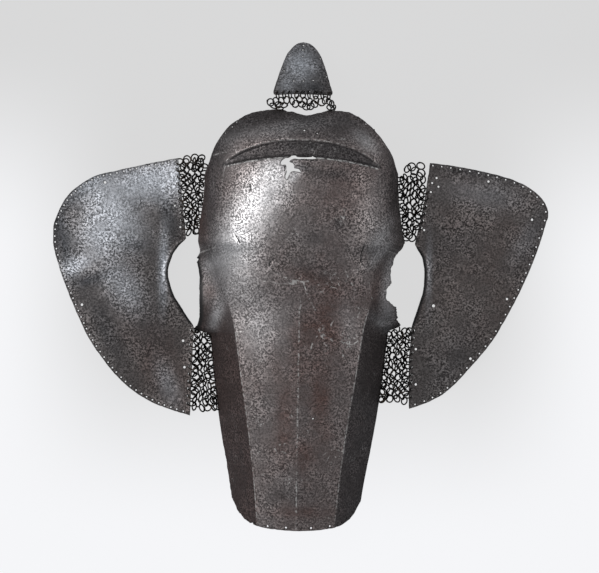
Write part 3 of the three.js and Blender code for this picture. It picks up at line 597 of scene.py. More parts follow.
@dataclass
class FacePlate:
    """The long plate over the horse's forehead and nose."""

    origin: Vector
    thickness: float = 1.4
    section_power: float = 2.3
    ridge_angle: float = 0.87
    side_bulge: float = 2.0
    keel_share: float = 0.35
    crescent_half_span: float = 103
    crescent_depth: float = 5
    crescent_wall: float = 1.8
    crescent_narrowest: float = 4
    lip_reach: float = 22
    lip_power: float = 1.8
    lost_lip: tuple[float, float, float] = (-8, 22, 50)
    eyes: dict[Side, Eye] = field(default_factory=lambda: {
        Side.LEFT: Eye(y=-13, half_length=45, height=40, flare_top=12.5, flare_bottom=21),
        Side.RIGHT: Eye(y=4, half_length=54, height=42, flare_top=3, flare_bottom=19),
    })

    def __post_init__(self) -> None:
        """Fits the curves of the stations and measures each section's length."""
        self.half_width = Curve([(s.y, s.half_width) for s in FACE_STATIONS])
        self.crown = Curve([(s.y, s.crown) for s in FACE_STATIONS])
        self.half_front = Curve([(s.y, s.half_front) for s in FACE_STATIONS])
        self.ridge_drop = Curve([(s.y, s.ridge_drop) for s in FACE_STATIONS])
        self.edge_height = Curve(EDGE_HEIGHTS)
        self.table_y = np.arange(-318.0, 232.0, 2.0)
        steps = 500
        angle = np.linspace(0, HALF_TURN, steps)
        yy, aa = np.meshgrid(self.table_y, angle, indexing="ij")
        x, z = self.section(yy, aa)
        lengths = np.hypot(np.diff(x, axis=1), np.diff(z, axis=1))
        along = np.concatenate([np.zeros((len(self.table_y), 1)), np.cumsum(lengths, axis=1)], axis=1)
        self.half_length = along[:, -1]
        self.shares = np.linspace(0, 1, 401)
        self.angles = np.stack([np.interp(self.shares, row / row[-1], angle) for row in along])
        self.xs, self.zs = self.section(np.repeat(self.table_y[:, None], 401, 1), self.angles)

    def section(self, y: Array, angle: Array) -> tuple[Array, Array]:
        """The half section's x and height at an angle from the crown."""
        width, top, edge = self.half_width(y), self.crown(y), self.edge_height(y)
        front, drop = self.half_front(y), self.ridge_drop(y)
        dome_x = width * np.sin(angle) ** (2 / self.section_power)
        dome_z = edge + (top - edge) * np.maximum(0, np.cos(angle)) ** (2 / self.section_power)
        t = np.clip(angle / self.ridge_angle, 0, 1)
        u = np.clip((angle - self.ridge_angle) / (HALF_TURN - self.ridge_angle), 0, 1)
        ridge_z = top - drop
        run, fall = width - front, edge - ridge_z
        swell = self.side_bulge * np.sin(math.pi * u) / np.hypot(run, fall)
        facet_x = np.where(u > 0, front + run * u - fall * swell, front * t)
        keel = drop * (self.keel_share * t + (1 - self.keel_share) * t * t)
        facet_z = np.where(u > 0, ridge_z + fall * u + run * swell, top - keel)
        share = smoothstep(15, -55, y)
        return mix(dome_x, facet_x, share), mix(dome_z, facet_z, share)

    def lower_crease(self, x: Array) -> Array:
        """Where the sunk crescent begins, along the plate."""
        return 161 - 14 * np.minimum(1.3, np.abs(x) / self.crescent_half_span) ** 2

    def upper_crease(self, x: Array) -> Array:
        """Where the sunk crescent ends, along the plate."""
        line = 182 - 33 * np.minimum(1.3, np.abs(x) / self.crescent_half_span) ** 2.6
        return np.maximum(line, self.lower_crease(x) + self.crescent_narrowest)

    def sunk(self, x: Array, y: Array) -> Array:
        """How far the crescent lies below the dome."""
        low, high = self.lower_crease(x), self.upper_crease(x)
        depth = self.crescent_depth * smoothstep(self.crescent_narrowest, 15, high - low)
        return depth * np.clip(np.minimum(y - low, high - y) / self.crescent_wall, 0, 1)

    def share_at(self, y: Array, values: Array, table: Array, rising: bool) -> Array:
        """The share of the half section where a table's column reaches each value.

        Args:
            y: places along the plate.
            values: the wanted x or height at each place.
            table: x or height of each section at each share.
            rising: whether the table rises with the share.

        Returns:
            The shares.
        """
        rows = np.clip((np.asarray(y) - self.table_y[0]) / 2, 0, len(self.table_y) - 1.001)
        result = []
        for row, value in zip(rows, values):
            i, t = int(row), row - int(row)
            line = mix(table[i], table[i + 1], t)
            xs, shares = (line, self.shares) if rising else (line[::-1], self.shares[::-1])
            result.append(np.interp(value, xs, shares))
        return np.array(result)

    def flat_length(self, y: Array) -> Array:
        """Length of the half section, from crown to edge."""
        return np.interp(y, self.table_y, self.half_length)

    def from_above(self, spots: Array) -> Array:
        """Moves points seen from above into the flat sheet."""
        share = self.share_at(spots[:, 1], np.abs(spots[:, 0]), self.xs, True)
        return np.stack([np.sign(spots[:, 0]) * share * self.flat_length(spots[:, 1]), spots[:, 1]], 1)

    def notch(self, side: Side) -> Array:
        """The eye cut-out's edge in the flat sheet, from its nose end to its brow end."""
        eye = self.eyes[side]
        turn = np.linspace(math.pi, 0, 90)
        y = eye.y + eye.half_length * np.cos(turn)
        z = eye.height * np.sin(turn)
        if side is Side.RIGHT:
            centre, half, height = self.lost_lip
            lost = height * np.sqrt(np.clip(1 - ((y - centre) / half) ** 2, 0, 1))
            z = np.maximum(z, lost)
        share = self.share_at(y, z, self.zs, False)
        return np.stack([side.value * share * self.flat_length(y), y], 1)

    def side_edge(self, side: Side, start: float, end: float) -> Array:
        """Points along a side edge between two places."""
        y = np.linspace(start, end, max(2, int(abs(end - start) / 2)))
        return np.stack([side.value * self.flat_length(y), y], 1)

    def outline(self) -> Array:
        """The whole sheet's outline, anticlockwise."""
        bottom = self.from_above(spline(FACE_BOTTOM_RIM, 2))
        top = self.from_above(spline(FACE_TOP_RIM, 2))[::-1]
        right, left = self.eyes[Side.RIGHT], self.eyes[Side.LEFT]
        return np.vstack([
            bottom,
            self.side_edge(Side.RIGHT, -260, right.y - right.half_length - 1),
            self.notch(Side.RIGHT),
            self.side_edge(Side.RIGHT, right.y + right.half_length + 1, 125),
            top,
            self.side_edge(Side.LEFT, 125, left.y + left.half_length + 1),
            self.notch(Side.LEFT)[::-1],
            self.side_edge(Side.LEFT, left.y - left.half_length - 1, -260),
        ])

    def corrosion(self, flat: Array) -> Array:
        """How deep the edge is eaten at places in the flat sheet."""
        s, y = flat[:, 0], flat[:, 1]
        depth = np.full(len(flat), 0.9)
        depth += 2.6 * (s < -60) * smoothstep(-190, -225, y)
        depth += 1.4 * smoothstep(200, 215, y)
        near_right_eye = (s > 90) & (y > -52) & (y < 62)
        depth += 4.5 * near_right_eye
        depth += 3.0 * ((s < -120) & (y > 28) & (y < 48))
        return depth

    def bent(self, flat: Array) -> Array:
        """Bends flat points into the outer face."""
        s, y = flat[:, 0], flat[:, 1]
        side = np.where(s < 0, -1.0, 1.0)
        share = np.clip(np.abs(s) / self.flat_length(y), 0, 1)
        row = np.clip((y - self.table_y[0]) / 2, 0, len(self.table_y) - 1.001)
        i, t = row.astype(int), row - row.astype(int)
        place = np.clip(share * 400, 0, 399.999)
        j, u = place.astype(int), place - place.astype(int)
        low = mix(self.angles[i, j], self.angles[i, j + 1], u)
        high = mix(self.angles[i + 1, j], self.angles[i + 1, j + 1], u)
        angle = mix(low, high, t)
        x, z = self.section(y, angle)
        for which, eye in self.eyes.items():
            along = y - eye.y
            reach = np.hypot(along, z)
            ratio = np.hypot(along / eye.half_length, z / eye.height)
            away = np.maximum(0, reach * (1 - 1 / np.maximum(ratio, 1e-6)))
            widest = mix(eye.flare_top, eye.flare_bottom, smoothstep(20, -40, y))
            low_end = eye.y - eye.half_length
            fade = smoothstep(low_end - 8, low_end + 2, y)
            flare = widest * fade * np.clip(1 - away / self.lip_reach, 0, 1) ** self.lip_power
            x = x + np.where(side == which.value, flare * smoothstep(0.5, 1.1, angle), 0)
        x = side * x
        z = z - self.sunk(x, y)
        return np.stack([x, y, z], 1)

    def surface(self, flat: Array) -> Array:
        """The outer face with the dents and waves of old hand work."""
        points = self.bent(flat)
        waves = 0.5 * hills(flat, 46, 11) + 0.28 * hills(flat, 21, 12) + 0.1 * hills(flat, 9, 13)
        edge = smoothstep(0, 25, self.flat_length(flat[:, 1]) - np.abs(flat[:, 0]))
        points[:, 2] += (waves - 0.5) * edge
        groove = np.exp(-(((flat[:, 1] - self.upper_crease(flat[:, 0]) + 0.8) / 0.9) ** 2))
        points[:, 2] -= 2.2 * groove * smoothstep(-46, -38, flat[:, 0]) * smoothstep(17, 9, flat[:, 0])
        points[:, 2] -= 0.9 * smoothstep(1.6, 0, nearest(flat, self.flat_lines(FACE_CRACKS)))
        points[:, 2] -= 0.35 * smoothstep(1.6, 0, nearest(flat, self.flat_lines(FACE_SCARS)))
        return points + [self.origin.x / MM, self.origin.y / MM, 0]

    def creases(self) -> list[Array]:
        """Lines in the flat sheet where its direction changes: crescent, ridges and keel."""
        lines = []
        x = np.linspace(-96, 96, 110)
        for offset, crease in ((0, self.lower_crease), (1.8, self.lower_crease),
                               (-1.8, self.upper_crease), (0, self.upper_crease)):
            spots = np.stack([x, crease(x) + offset], 1)
            keep = np.abs(x) < 92
            lines.append(self.from_above(spots[keep]))
        y = np.linspace(-20, -290, 120)
        ridge = np.interp(y, self.table_y, self.ridge_shares()) * self.flat_length(y)
        for sign in (-1, 1):
            lines.append(np.stack([sign * ridge, y], 1))
        lines.append(np.stack([np.zeros(120), np.linspace(-5, -300, 120)], 1))
        return lines + self.flat_lines(FACE_SCARS) + self.flat_lines(FACE_CRACKS)

    def masks(self, flat: Array, from_edge: Array) -> dict[str, Array]:
        """Distances from the plate's lines, and where it is bright, red-brown or dark."""
        s, y = flat[:, 0], flat[:, 1]
        row = np.clip(((y - self.table_y[0]) / 2).astype(int), 0, len(self.table_y) - 1)
        ridge_s = self.ridge_shares()[row] * self.flat_length(y)
        spots = self.bent(flat)
        x, z = spots[:, 0], spots[:, 2]
        low, high = self.lower_crease(x), self.upper_crease(x)
        away = 99 * smoothstep(96, 108, np.abs(x))
        on_nose = 999 * smoothstep(-30, 20, y)
        in_crescent = (y > low) & (y < high) & (np.abs(x) < 100)
        side_face = smoothstep(-1.5, 1.5, np.abs(s) - ridge_s) * smoothstep(-14, -40, y)
        from_left_eye = from_edge + 99 * (s > 0) + 99 * (z > 45) + 99 * (np.abs(y + 8) > 56)
        rust = np.maximum(painted(spots, FACE_RUST), side_face * (s < 0))
        rust = np.maximum(rust, 0.6 * smoothstep(112, 120, -x) * smoothstep(40, 70, y))
        # Painted shade on the steep side faces of the nose; in the sunk crescent, painted shade together with darker
        # patina.
        soot = np.maximum(painted(spots, FACE_SOOT_AND_SHADE), 0.5 * side_face)
        soot = np.maximum(soot, 0.75 * in_crescent)
        # Rubbed-bright patches and painted highlights, kept off the crescent and the lower side faces.
        polish = painted(spots, FACE_POLISH_AND_HIGHLIGHT) * (1 - in_crescent) * (1 - 0.9 * side_face * (z < 70) * (y < -60))
        return fields(
            len(flat), rim=from_edge, lip=from_left_eye, low_crease=y - low + away, high_crease=y - high + away,
            ridge=np.abs(s) - ridge_s + on_nose, keel=np.abs(s) + on_nose, polish=polish, rust=rust, soot=soot,
            scar=nearest(flat, self.flat_lines(FACE_SCARS)), crack=nearest(flat, self.flat_lines(FACE_CRACKS)),
        )

    def flat_lines(self, lines: Sequence[Sequence[tuple[float, float]]]) -> list[Array]:
        """Short runs of places seen from above, as fine lines in the flat sheet."""
        return [self.from_above(spline([Spot(*place) for place in line], 1.1)) for line in lines]

    def ridge_shares(self) -> Array:
        """The share of the half section at which each section's ridge lies."""
        return np.array([np.interp(self.ridge_angle, row, self.shares) for row in self.angles])

    def build(self) -> bpy.types.Object:
        """Makes the plate.

        Returns:
            The plate.
        """
        gap = self.from_above(resampled(spline([*FOREHEAD_GAP, FOREHEAD_GAP[0]], 0.8)[:-1], 0.8))
        holes = [gap]
        for hole in FACE_HOLES:
            centre = self.from_above(np.array([[hole.x, hole.y]]))[0]
            holes.append(circle(centre[0], centre[1], hole.radius))
        sheet = Sheet(
            name="face_plate_steel",
            outline=eaten(self.outline(), self.corrosion, seed=5),
            holes=holes,
            creases=self.creases(),
            surface=self.surface,
            thickness=self.thickness,
            spacing=2.5,
        )
        return sheet.build(self.masks)


# ---- the cheek plates ----


@dataclass
class CheekPlate:
    """A broad side plate with a curved eye cut-out in its inner edge.

    Args:
        side: which side it lies on.
        origin: of the armour's own drawing in the frame.
        upper, eye, lower: distance of the inner edge from the middle, x, against y, in three runs.
        outer_rim: the outer rim from top to bottom.
        big_holes: strap holes.
        rim_pitch: distance between the small holes along the rim.
        link_rows: where mail rings pass through the inner edge.
        polish, rust, soot: where it is rubbed bright and carries painted highlights, where it is gone red-brown, and
            where it is gone dark with soot and painted shade.
    """

    side: Side
    origin: Vector
    upper: tuple[Spot, ...]
    eye: tuple[Spot, ...]
    lower: tuple[Spot, ...]
    outer_rim: tuple[Spot, ...]
    big_holes: tuple[Hole, ...]
    rim_pitch: float
    link_rows: tuple[float, ...]
    polish: tuple[Blotch, ...]
    rust: tuple[Blotch, ...]
    soot: tuple[Blotch, ...]
    seed: int
    thickness: float = 1.2
    crown: float = 9
    middle: float = 225
    half_span: float = 84
    half_length: float = 175
    edge_lift: float = 5.6
    lift_reach: float = 48
    lip_height: float = 6
    lip_reach: float = 9
    link_inset: float = 3.8
    outermost: float = 315.2

    def __post_init__(self) -> None:
        """Fits the curves of the inner edge."""
        self.upper_run = Curve([(p.y, p.x) for p in self.upper])
        self.eye_run = Curve([(p.y, p.x) for p in self.eye])
        self.lower_run = Curve([(p.y, p.x) for p in self.lower])
        self.eye_top = self.eye[0].y
        self.eye_bottom = self.eye[-1].y

    def inner(self, y: Array) -> Array:
        """Distance of the inner edge from the middle."""
        y = np.asarray(y, float)
        low_or_eye = np.where(y <= self.eye_bottom, self.lower_run(y), self.eye_run(y))
        return np.where(y >= self.eye_top, self.upper_run(y), low_or_eye)

    def height(self, across: Array, y: Array) -> Array:
        """Height of the underside."""
        out = across - self.inner(y)
        span = np.clip(1 - ((across - self.middle) / self.half_span) ** 2, 0, 1)
        swell = np.maximum(0, self.crown * span * (1 - 0.8 * (y / self.half_length) ** 2))
        straight = mix(self.lower[0].x, self.upper[0].x, smoothstep(-60, 160, y))
        reach = np.clip(1 - (across - straight) / self.lift_reach, 0, 1.0)
        lift = np.minimum(self.edge_lift, self.edge_lift * reach**2)
        in_eye = smoothstep(self.eye_bottom, self.eye_bottom + 14, y)
        in_eye = in_eye * smoothstep(self.eye_top, self.eye_top - 14, y)
        lip = self.lip_height * in_eye * np.clip(1 - out / self.lip_reach, 0, 1) ** 2
        return swell + lift + lip

    def surface(self, flat: Array) -> Array:
        """The outer face, whose flat plane is the view from above with both sides alike."""
        across, y = flat[:, 0], flat[:, 1]
        waves = 0.7 * hills(flat, 52, self.seed) + 0.3 * hills(flat, 23, self.seed + 1)
        waves += 0.1 * hills(flat, 9, self.seed + 2)
        calm = smoothstep(0, 22, across - self.inner(y)) * smoothstep(0, 60, 316 - across)
        z = self.height(across, y) + waves * calm + self.thickness
        x = self.side.value * across
        return np.stack([x + self.origin.x / MM, y + self.origin.y / MM, z], 1)

    def edge_point(self, y: float) -> Vector:
        """A point on the inner edge, halfway through the metal, in millimetres."""
        across = self.inner(y)
        z = float(self.height(across, np.asarray(y, float))) + self.thickness / 2
        return Vector((self.side.value * float(across), y, z))

    def flat_outline(self) -> Array:
        """The outline, anticlockwise for the side whose x is positive."""
        rim = spline(self.outer_rim, 2)[::-1]
        top, bottom = self.outer_rim[0].y, self.outer_rim[-1].y
        y = np.linspace(top, bottom, int((top - bottom) / 2))[1:-1]
        return np.vstack([rim, np.stack([self.inner(y), y], 1)])

    def rim_holes(self) -> list[Array]:
        """The small lacing holes that follow the outer rim."""
        rim = spline(self.outer_rim, 0.5)
        step = np.diff(rim, axis=0)
        along = np.concatenate([[0], np.cumsum(np.linalg.norm(step, axis=1))])
        rng = np.random.default_rng(self.seed)
        places = np.arange(4, along[-1] - 3, self.rim_pitch)
        places = places + rng.uniform(-0.5, 0.5, len(places))
        holes = []
        for place in places:
            i = min(int(np.searchsorted(along, place)), len(step) - 1)
            tangent = step[i] / np.linalg.norm(step[i])
            inward = np.array([tangent[1], -tangent[0]])
            centre = rim[i] + inward * 3.2
            holes.append(circle(centre[0], centre[1], 0.95))
        return holes

    def masks(self, flat: Array, from_edge: Array) -> dict[str, Array]:
        """Distances from the edges, and where the plate is bright, red-brown or dark."""
        out = flat[:, 0] - self.inner(flat[:, 1])
        beside_eye = (flat[:, 1] < self.eye_top - 2) & (flat[:, 1] > self.eye_bottom + 2)
        return fields(
            len(flat), rim=from_edge, lip=np.where(beside_eye, np.abs(out), 99.0),
            polish=painted(flat, self.polish), rust=painted(flat, self.rust), soot=painted(flat, self.soot),
        )

    def build(self) -> bpy.types.Object:
        """Makes the plate.

        Returns:
            The plate.
        """
        holes = self.rim_holes()
        taken = [hole.mean(0) for hole in holes]
        for hole in self.big_holes:
            if all(np.hypot(*(centre - [hole.x, hole.y])) > hole.radius + 1.8 for centre in taken):
                holes.append(circle(hole.x, hole.y, hole.radius))
                taken.append(np.array([hole.x, hole.y]))
        for y in self.link_rows:
            centre = np.array([float(self.inner(y)) + self.link_inset, y])
            if all(np.hypot(*(other - centre)) > 3.6 for other in taken):
                holes.append(circle(centre[0], centre[1], 1.35))
        outline = eaten(self.flat_outline(), lambda p: np.full(len(p), 0.9), self.seed)
        outline[:, 0] = np.minimum(outline[:, 0], self.outermost)
        sheet = Sheet(
            name=f"cheek_plate_{self.side.word}_steel",
            outline=outline,
            holes=holes,
            creases=[],
            surface=self.surface,
            thickness=self.thickness,
            spacing=2.2,
        )
        piece = sheet.build(self.masks)
        if self.side is Side.LEFT:
            piece.data.flip_normals()
        return piece


# ---- the poll plate ----


@dataclass
class PollPlate:
    """The small rounded plate beyond the top edge, leaning down to the surface."""

    origin: Vector
    base_y: float = 240
    base_height: float = 44
    tip_height: float = 1.4
    length: float = 80.6
    swell: float = 3
    half_width: float = 40
    thickness: float = 1.2
    ring_count: int = 9
    ring_span: float = 32.4
    ring_inset: float = 4.2

    @property
    def lean(self) -> float:
        """The angle by which it leans, in radians."""
        return math.asin((self.base_height - self.tip_height) / self.length)

    def place(self, across: Array, along: Array, above: Array) -> Array:
        """Places points given in the plate's own plane, in millimetres."""
        up = self.swell * (1 - (across / self.half_width) ** 2) + above
        cos, sin = math.cos(self.lean), math.sin(self.lean)
        y = along * cos + up * sin + self.base_y
        z = -along * sin + up * cos + self.base_height
        return np.stack([across + np.zeros_like(y), y, z], -1)

    def surface(self, flat: Array) -> Array:
        """The outer face."""
        waves = 0.35 * hills(flat, 26, 71) + 0.12 * hills(flat, 11, 72)
        points = self.place(flat[:, 0], flat[:, 1], self.thickness + waves * 0.6)
        return points + [self.origin.x / MM, self.origin.y / MM, 0]

    def ring_places(self) -> Array:
        """Where rings pass through the base edge, across the plate."""
        return np.linspace(-self.ring_span, self.ring_span, self.ring_count)

    def build(self) -> bpy.types.Object:
        """Makes the plate.

        Returns:
            The plate.
        """
        half = spline(POLL_HALF_OUTLINE, 1.5)
        other = half[::-1][1:] * [-1, 1]
        holes = [circle(h.x, h.y, h.radius) for h in POLL_HOLES]
        holes += [circle(x, self.ring_inset, 1.2) for x in self.ring_places()]
        sheet = Sheet(
            name="poll_plate_steel",
            outline=eaten(np.vstack([half, other]), lambda p: np.full(len(p), 0.8), 81),
            holes=holes,
            creases=[],
            surface=self.surface,
            thickness=self.thickness,
            spacing=1.8,
        )

        def masks(flat: Array, from_edge: Array) -> dict[str, Array]:
            """Distances from the edge, with a lighter middle and a darker base."""
            # The lighter middle is a painted highlight; the base is darker.
            polish = painted(flat, (Blotch(-4, 46, 26, 20, 90, 0.8), Blotch(-22, 14, 10, 12, 0, 0.4)))
            soot = painted(flat, (Blotch(14, 10, 22, 9, 0, 0.6), Blotch(24, 34, 20, 5, 110, 0.3)))
            return fields(len(flat), rim=from_edge, polish=polish, soot=soot)

        return sheet.build(masks)


# ---- mail ----


class Ring(NamedTuple):
    """One mail ring, placed in millimetres."""

    centre: Vector
    axis: Vector
    radius: float
    wire: float


@dataclass
class MailPanel:
    """A panel of woven rings, joined into one mesh."""

    name: str
    rings: list[Ring] = field(default_factory=list)
    ring_steps: int = 26
    wire_steps: int = 8
    rivet_swell: float = 0.55

    def add(self, centre: Vector, axis: Vector, radius: float, wire: float) -> None:
        """Adds a ring."""
        self.rings.append(Ring(centre, axis.normalized(), radius, wire))

    def build(self, origin: Vector, seed: int) -> bpy.types.Object:
        """Makes the rings, each with its flattened and riveted lap.

        Args:
            origin: of the armour's own drawing in the frame.
            seed: picks where each ring's lap lies and its tone.

        Returns:
            The panel.
        """
        rng = np.random.default_rng(seed)
        turn = np.arange(self.ring_steps) / self.ring_steps * math.tau
        round_wire = np.arange(self.wire_steps) / self.wire_steps * math.tau
        points, faces, tones = [], [], []
        i = np.arange(self.ring_steps)[:, None]
        j = np.arange(self.wire_steps)[None, :]
        next_i, next_j = (i + 1) % self.ring_steps, (j + 1) % self.wire_steps
        quads = np.stack(np.broadcast_arrays(
            i * self.wire_steps + j, next_i * self.wire_steps + j,
            next_i * self.wire_steps + next_j, i * self.wire_steps + next_j,
        ), -1).reshape(-1, 4)
        for ring in self.rings:
            axis = np.array(ring.axis)
            helper = np.array([0.0, 0.0, 1.0]) if abs(axis[2]) < 0.8 else np.array([1.0, 0.0, 0.0])
            u = np.cross(helper, axis)
            u /= np.linalg.norm(u)
            v = np.cross(axis, u)
            lap = rng.uniform(0, math.tau)
            gap = (turn - lap + math.pi) % math.tau - math.pi
            bump = 1 + self.rivet_swell * np.exp(-((gap / 0.22) ** 2))
            stretch = 1 + rng.uniform(-0.05, 0.05) * np.cos(2 * (turn - lap))
            radial = np.cos(turn)[:, None] * u + np.sin(turn)[:, None] * v
            wire = ring.wire * np.stack([bump, 1 + 0.1 * (bump - 1)], 1)
            ring_points = (
                np.array(ring.centre)
                + (ring.radius * stretch)[:, None, None] * radial[:, None, :]
                + (wire[:, 0, None] * np.cos(round_wire))[..., None] * radial[:, None, :]
                + (wire[:, 1, None] * np.sin(round_wire))[..., None] * axis
            )
            faces.append(quads + len(points) * self.ring_steps * self.wire_steps)
            points.append(ring_points.reshape(-1, 3))
            tones.append(np.full(self.ring_steps * self.wire_steps, rng.random()))
        placed = np.vstack(points) + [origin.x / MM, origin.y / MM, 0]
        mesh = bpy.data.meshes.new(self.name)
        mesh.from_pydata((placed * MM).tolist(), [], np.vstack(faces).tolist())
        mesh.polygons.foreach_set("use_smooth", [True] * len(mesh.polygons))
        tone = np.concatenate(tones).astype(np.float32)
        mesh.attributes.new("tone", "FLOAT", "POINT").data.foreach_set("value", tone)
        piece = bpy.data.objects.new(self.name, mesh)
        bpy.context.scene.collection.objects.link(piece)
        log.info("%s: %d rings", self.name, len(self.rings))
        return piece


class FreeRing(NamedTuple):
    """A loose ring seen from above, with the direction and amount of its tilt in degrees."""

    x: float
    y: float
    z: float
    turn: float
    tilt: float


@dataclass
class SideMail:
    """A mail panel between a cheek plate and the face plate.

    Args:
        name: the piece's name.
        cheek, face: the plates that it joins.
        start, end: where it runs along the plates, in y.
        columns: of rings between the plates.
        linked: the part of the run that is laced to the cheek plate.
        free: rings that have come loose, added to the weave.
    """

    name: str
    cheek: CheekPlate
    face: FacePlate
    start: float
    end: float
    columns: int
    seed: int
    linked: tuple[float, float]
    free: tuple[FreeRing, ...] = ()
    row_pitch: float = 9.3
    ring_radius: float = 4.7
    wire: float = 0.92
    weave_tilt: float = 0.85
    plain_width: float = 4.4
    edge_lean: float = 0.72

    def rows(self) -> Array:
        """Where rows of rings lie along the plates."""
        count = int(abs(self.end - self.start) / self.row_pitch)
        return self.start - (np.arange(count) + 0.5) * self.row_pitch

    def laced_rows(self) -> list[float]:
        """The rows whose rings pass through the cheek plate's edge."""
        high, low = self.linked
        return [y for y in self.rows() if low <= y <= high]

    def face_edge(self, y: float) -> Vector:
        """A point on the face plate's side edge, in millimetres."""
        side = self.cheek.side
        flat = np.array([[side.value * (float(self.face.flat_length(y)) - 2.5), y]])
        return Vector(self.face.bent(flat)[0])

    def build(self, origin: Vector) -> bpy.types.Object:
        """Weaves the panel.

        Args:
            origin: of the armour's own drawing in the frame.

        Returns:
            The panel.
        """
        rng = np.random.default_rng(self.seed)
        side = float(self.cheek.side.value)
        panel = MailPanel(self.name)
        lowest = self.wire + 0.3
        for y in self.rows():
            for edge, shift, used in (
                (self.cheek.edge_point(y), -side * 0.9, y in self.laced_rows()),
                (self.face_edge(y - self.row_pitch / 2), side * 1.4, True),
            ):
                if not used:
                    continue
                lean = self.edge_lean + rng.uniform(-0.25, 0.25)
                axis = Vector((rng.uniform(-0.15, 0.15), math.cos(lean), math.sin(lean)))
                centre = edge + Vector((shift + rng.uniform(-0.3, 0.3), rng.uniform(-0.7, 0.7), 0))
                reach = self.ring_radius * math.sqrt(1 - axis.normalized().z ** 2)
                centre.z = max(centre.z, reach + lowest)
                panel.add(centre, axis, self.ring_radius, self.wire)
        for y in self.rows():
            for column in range(self.columns):
                at = y - (0 if column % 2 else self.row_pitch / 2)
                if at < self.end - 3:
                    continue
                near = self.cheek.edge_point(min(max(at, self.end), self.start))
                far = self.face_edge(at)
                width = abs(near.x - far.x)
                count = min(self.columns, max(2, round(width / self.plain_width) - 1))
                if column >= count:
                    continue
                share = (column + 1) / (count + 1)
                place = near.lerp(Vector((far.x, at, max(5.4, min(far.z, 7.5)))), share)
                place.y = at
                tilt = self.weave_tilt + rng.uniform(-0.42, 0.35)
                tilt = tilt if column % 2 else -tilt
                axis = Vector((side * math.sin(tilt), rng.uniform(-0.55, 0.55), math.cos(tilt))).normalized()
                place += Vector((rng.uniform(-1.1, 1.1), rng.uniform(-1.5, 1.5), 0))
                place.z += -1.2 * math.sin(math.pi * share) + rng.uniform(-0.6, 0.6)
                place.z = max(place.z, self.ring_radius * math.sqrt(1 - axis.z**2) + lowest)
                panel.add(place, axis, self.ring_radius + rng.uniform(-0.25, 0.25), self.wire)
        for ring in self.free:
            turn, tilt = math.radians(ring.turn), math.radians(ring.tilt)
            axis = Vector((math.sin(tilt) * math.cos(turn), math.sin(tilt) * math.sin(turn), math.cos(tilt)))
            panel.add(Vector((ring.x, ring.y, ring.z)), axis, self.ring_radius + 0.4, self.wire)
        return panel.build(origin, self.seed)


@dataclass
class PollMail:
    """The narrow mail panel between the poll plate and the face plate's top edge."""

    poll: PollPlate
    seed: int = 91
    ring_radius: float = 4.6
    wire: float = 0.88

    def build(self, origin: Vector) -> bpy.types.Object:
        """Weaves the panel.

        Args:
            origin: of the armour's own drawing in the frame.

        Returns:
            The panel.
        """
        rng = np.random.default_rng(self.seed)
        panel = MailPanel("mail_poll_rings")
        places = self.poll.ring_places()
        for x in places:
            base = Vector(self.poll.place(np.array(x), np.array(0.2), np.array(0.6)))
            lean = 0.5 + rng.uniform(-0.3, 0.3)
            axis = Vector((math.cos(lean), rng.uniform(-0.2, 0.2), math.sin(lean)))
            panel.add(base + Vector((rng.uniform(-0.6, 0.6), -1.0, 0.2)), axis, self.ring_radius, self.wire)
        for ring in POLL_RINGS:
            turn, tilt = math.radians(ring.turn), math.radians(ring.tilt)
            axis = Vector((math.sin(tilt) * math.cos(turn), math.sin(tilt) * math.sin(turn), math.cos(tilt)))
            panel.add(Vector((ring.x, ring.y, ring.z)), axis, self.ring_radius, self.wire)
        return panel.build(origin, self.seed)


# The poll panel's rings below the first row: one full row, a sparse one, and the ends that still hold.
POLL_RINGS = (
    FreeRing(-40.5, 231, 48, 30, 20), FreeRing(-34, 232.5, 49, 200, 40), FreeRing(-30.5, 228, 51, 100, 30),
    FreeRing(-37, 226.5, 51, 60, 50), FreeRing(-27, 233, 49, 20, 45), FreeRing(-20.5, 234, 49, 190, 40),
    FreeRing(-24, 227.5, 52, 280, 50), FreeRing(-13.5, 233, 50, 10, 50), FreeRing(-9, 229.5, 51, 150, 30),
    FreeRing(-4.5, 235, 49, 200, 40), FreeRing(-1, 229, 51, 250, 40), FreeRing(2.5, 233.5, 50, 20, 50),
    FreeRing(4.5, 226, 52, 80, 25), FreeRing(10, 226.5, 52, 300, 35), FreeRing(8.5, 232, 51, 160, 40),
    FreeRing(14.5, 229.5, 51, 60, 30), FreeRing(17, 235, 49, 10, 50), FreeRing(23.5, 232, 50, 210, 25),
    FreeRing(28, 234.5, 49, 170, 45), FreeRing(33, 233, 49, 30, 50), FreeRing(36.5, 230, 50, 190, 55),
    FreeRing(35, 225.5, 51, 80, 45), FreeRing(38.5, 224.5, 50, 330, 60), FreeRing(-29, 223.5, 51, 90, 60),
)


# ---- finishes ----


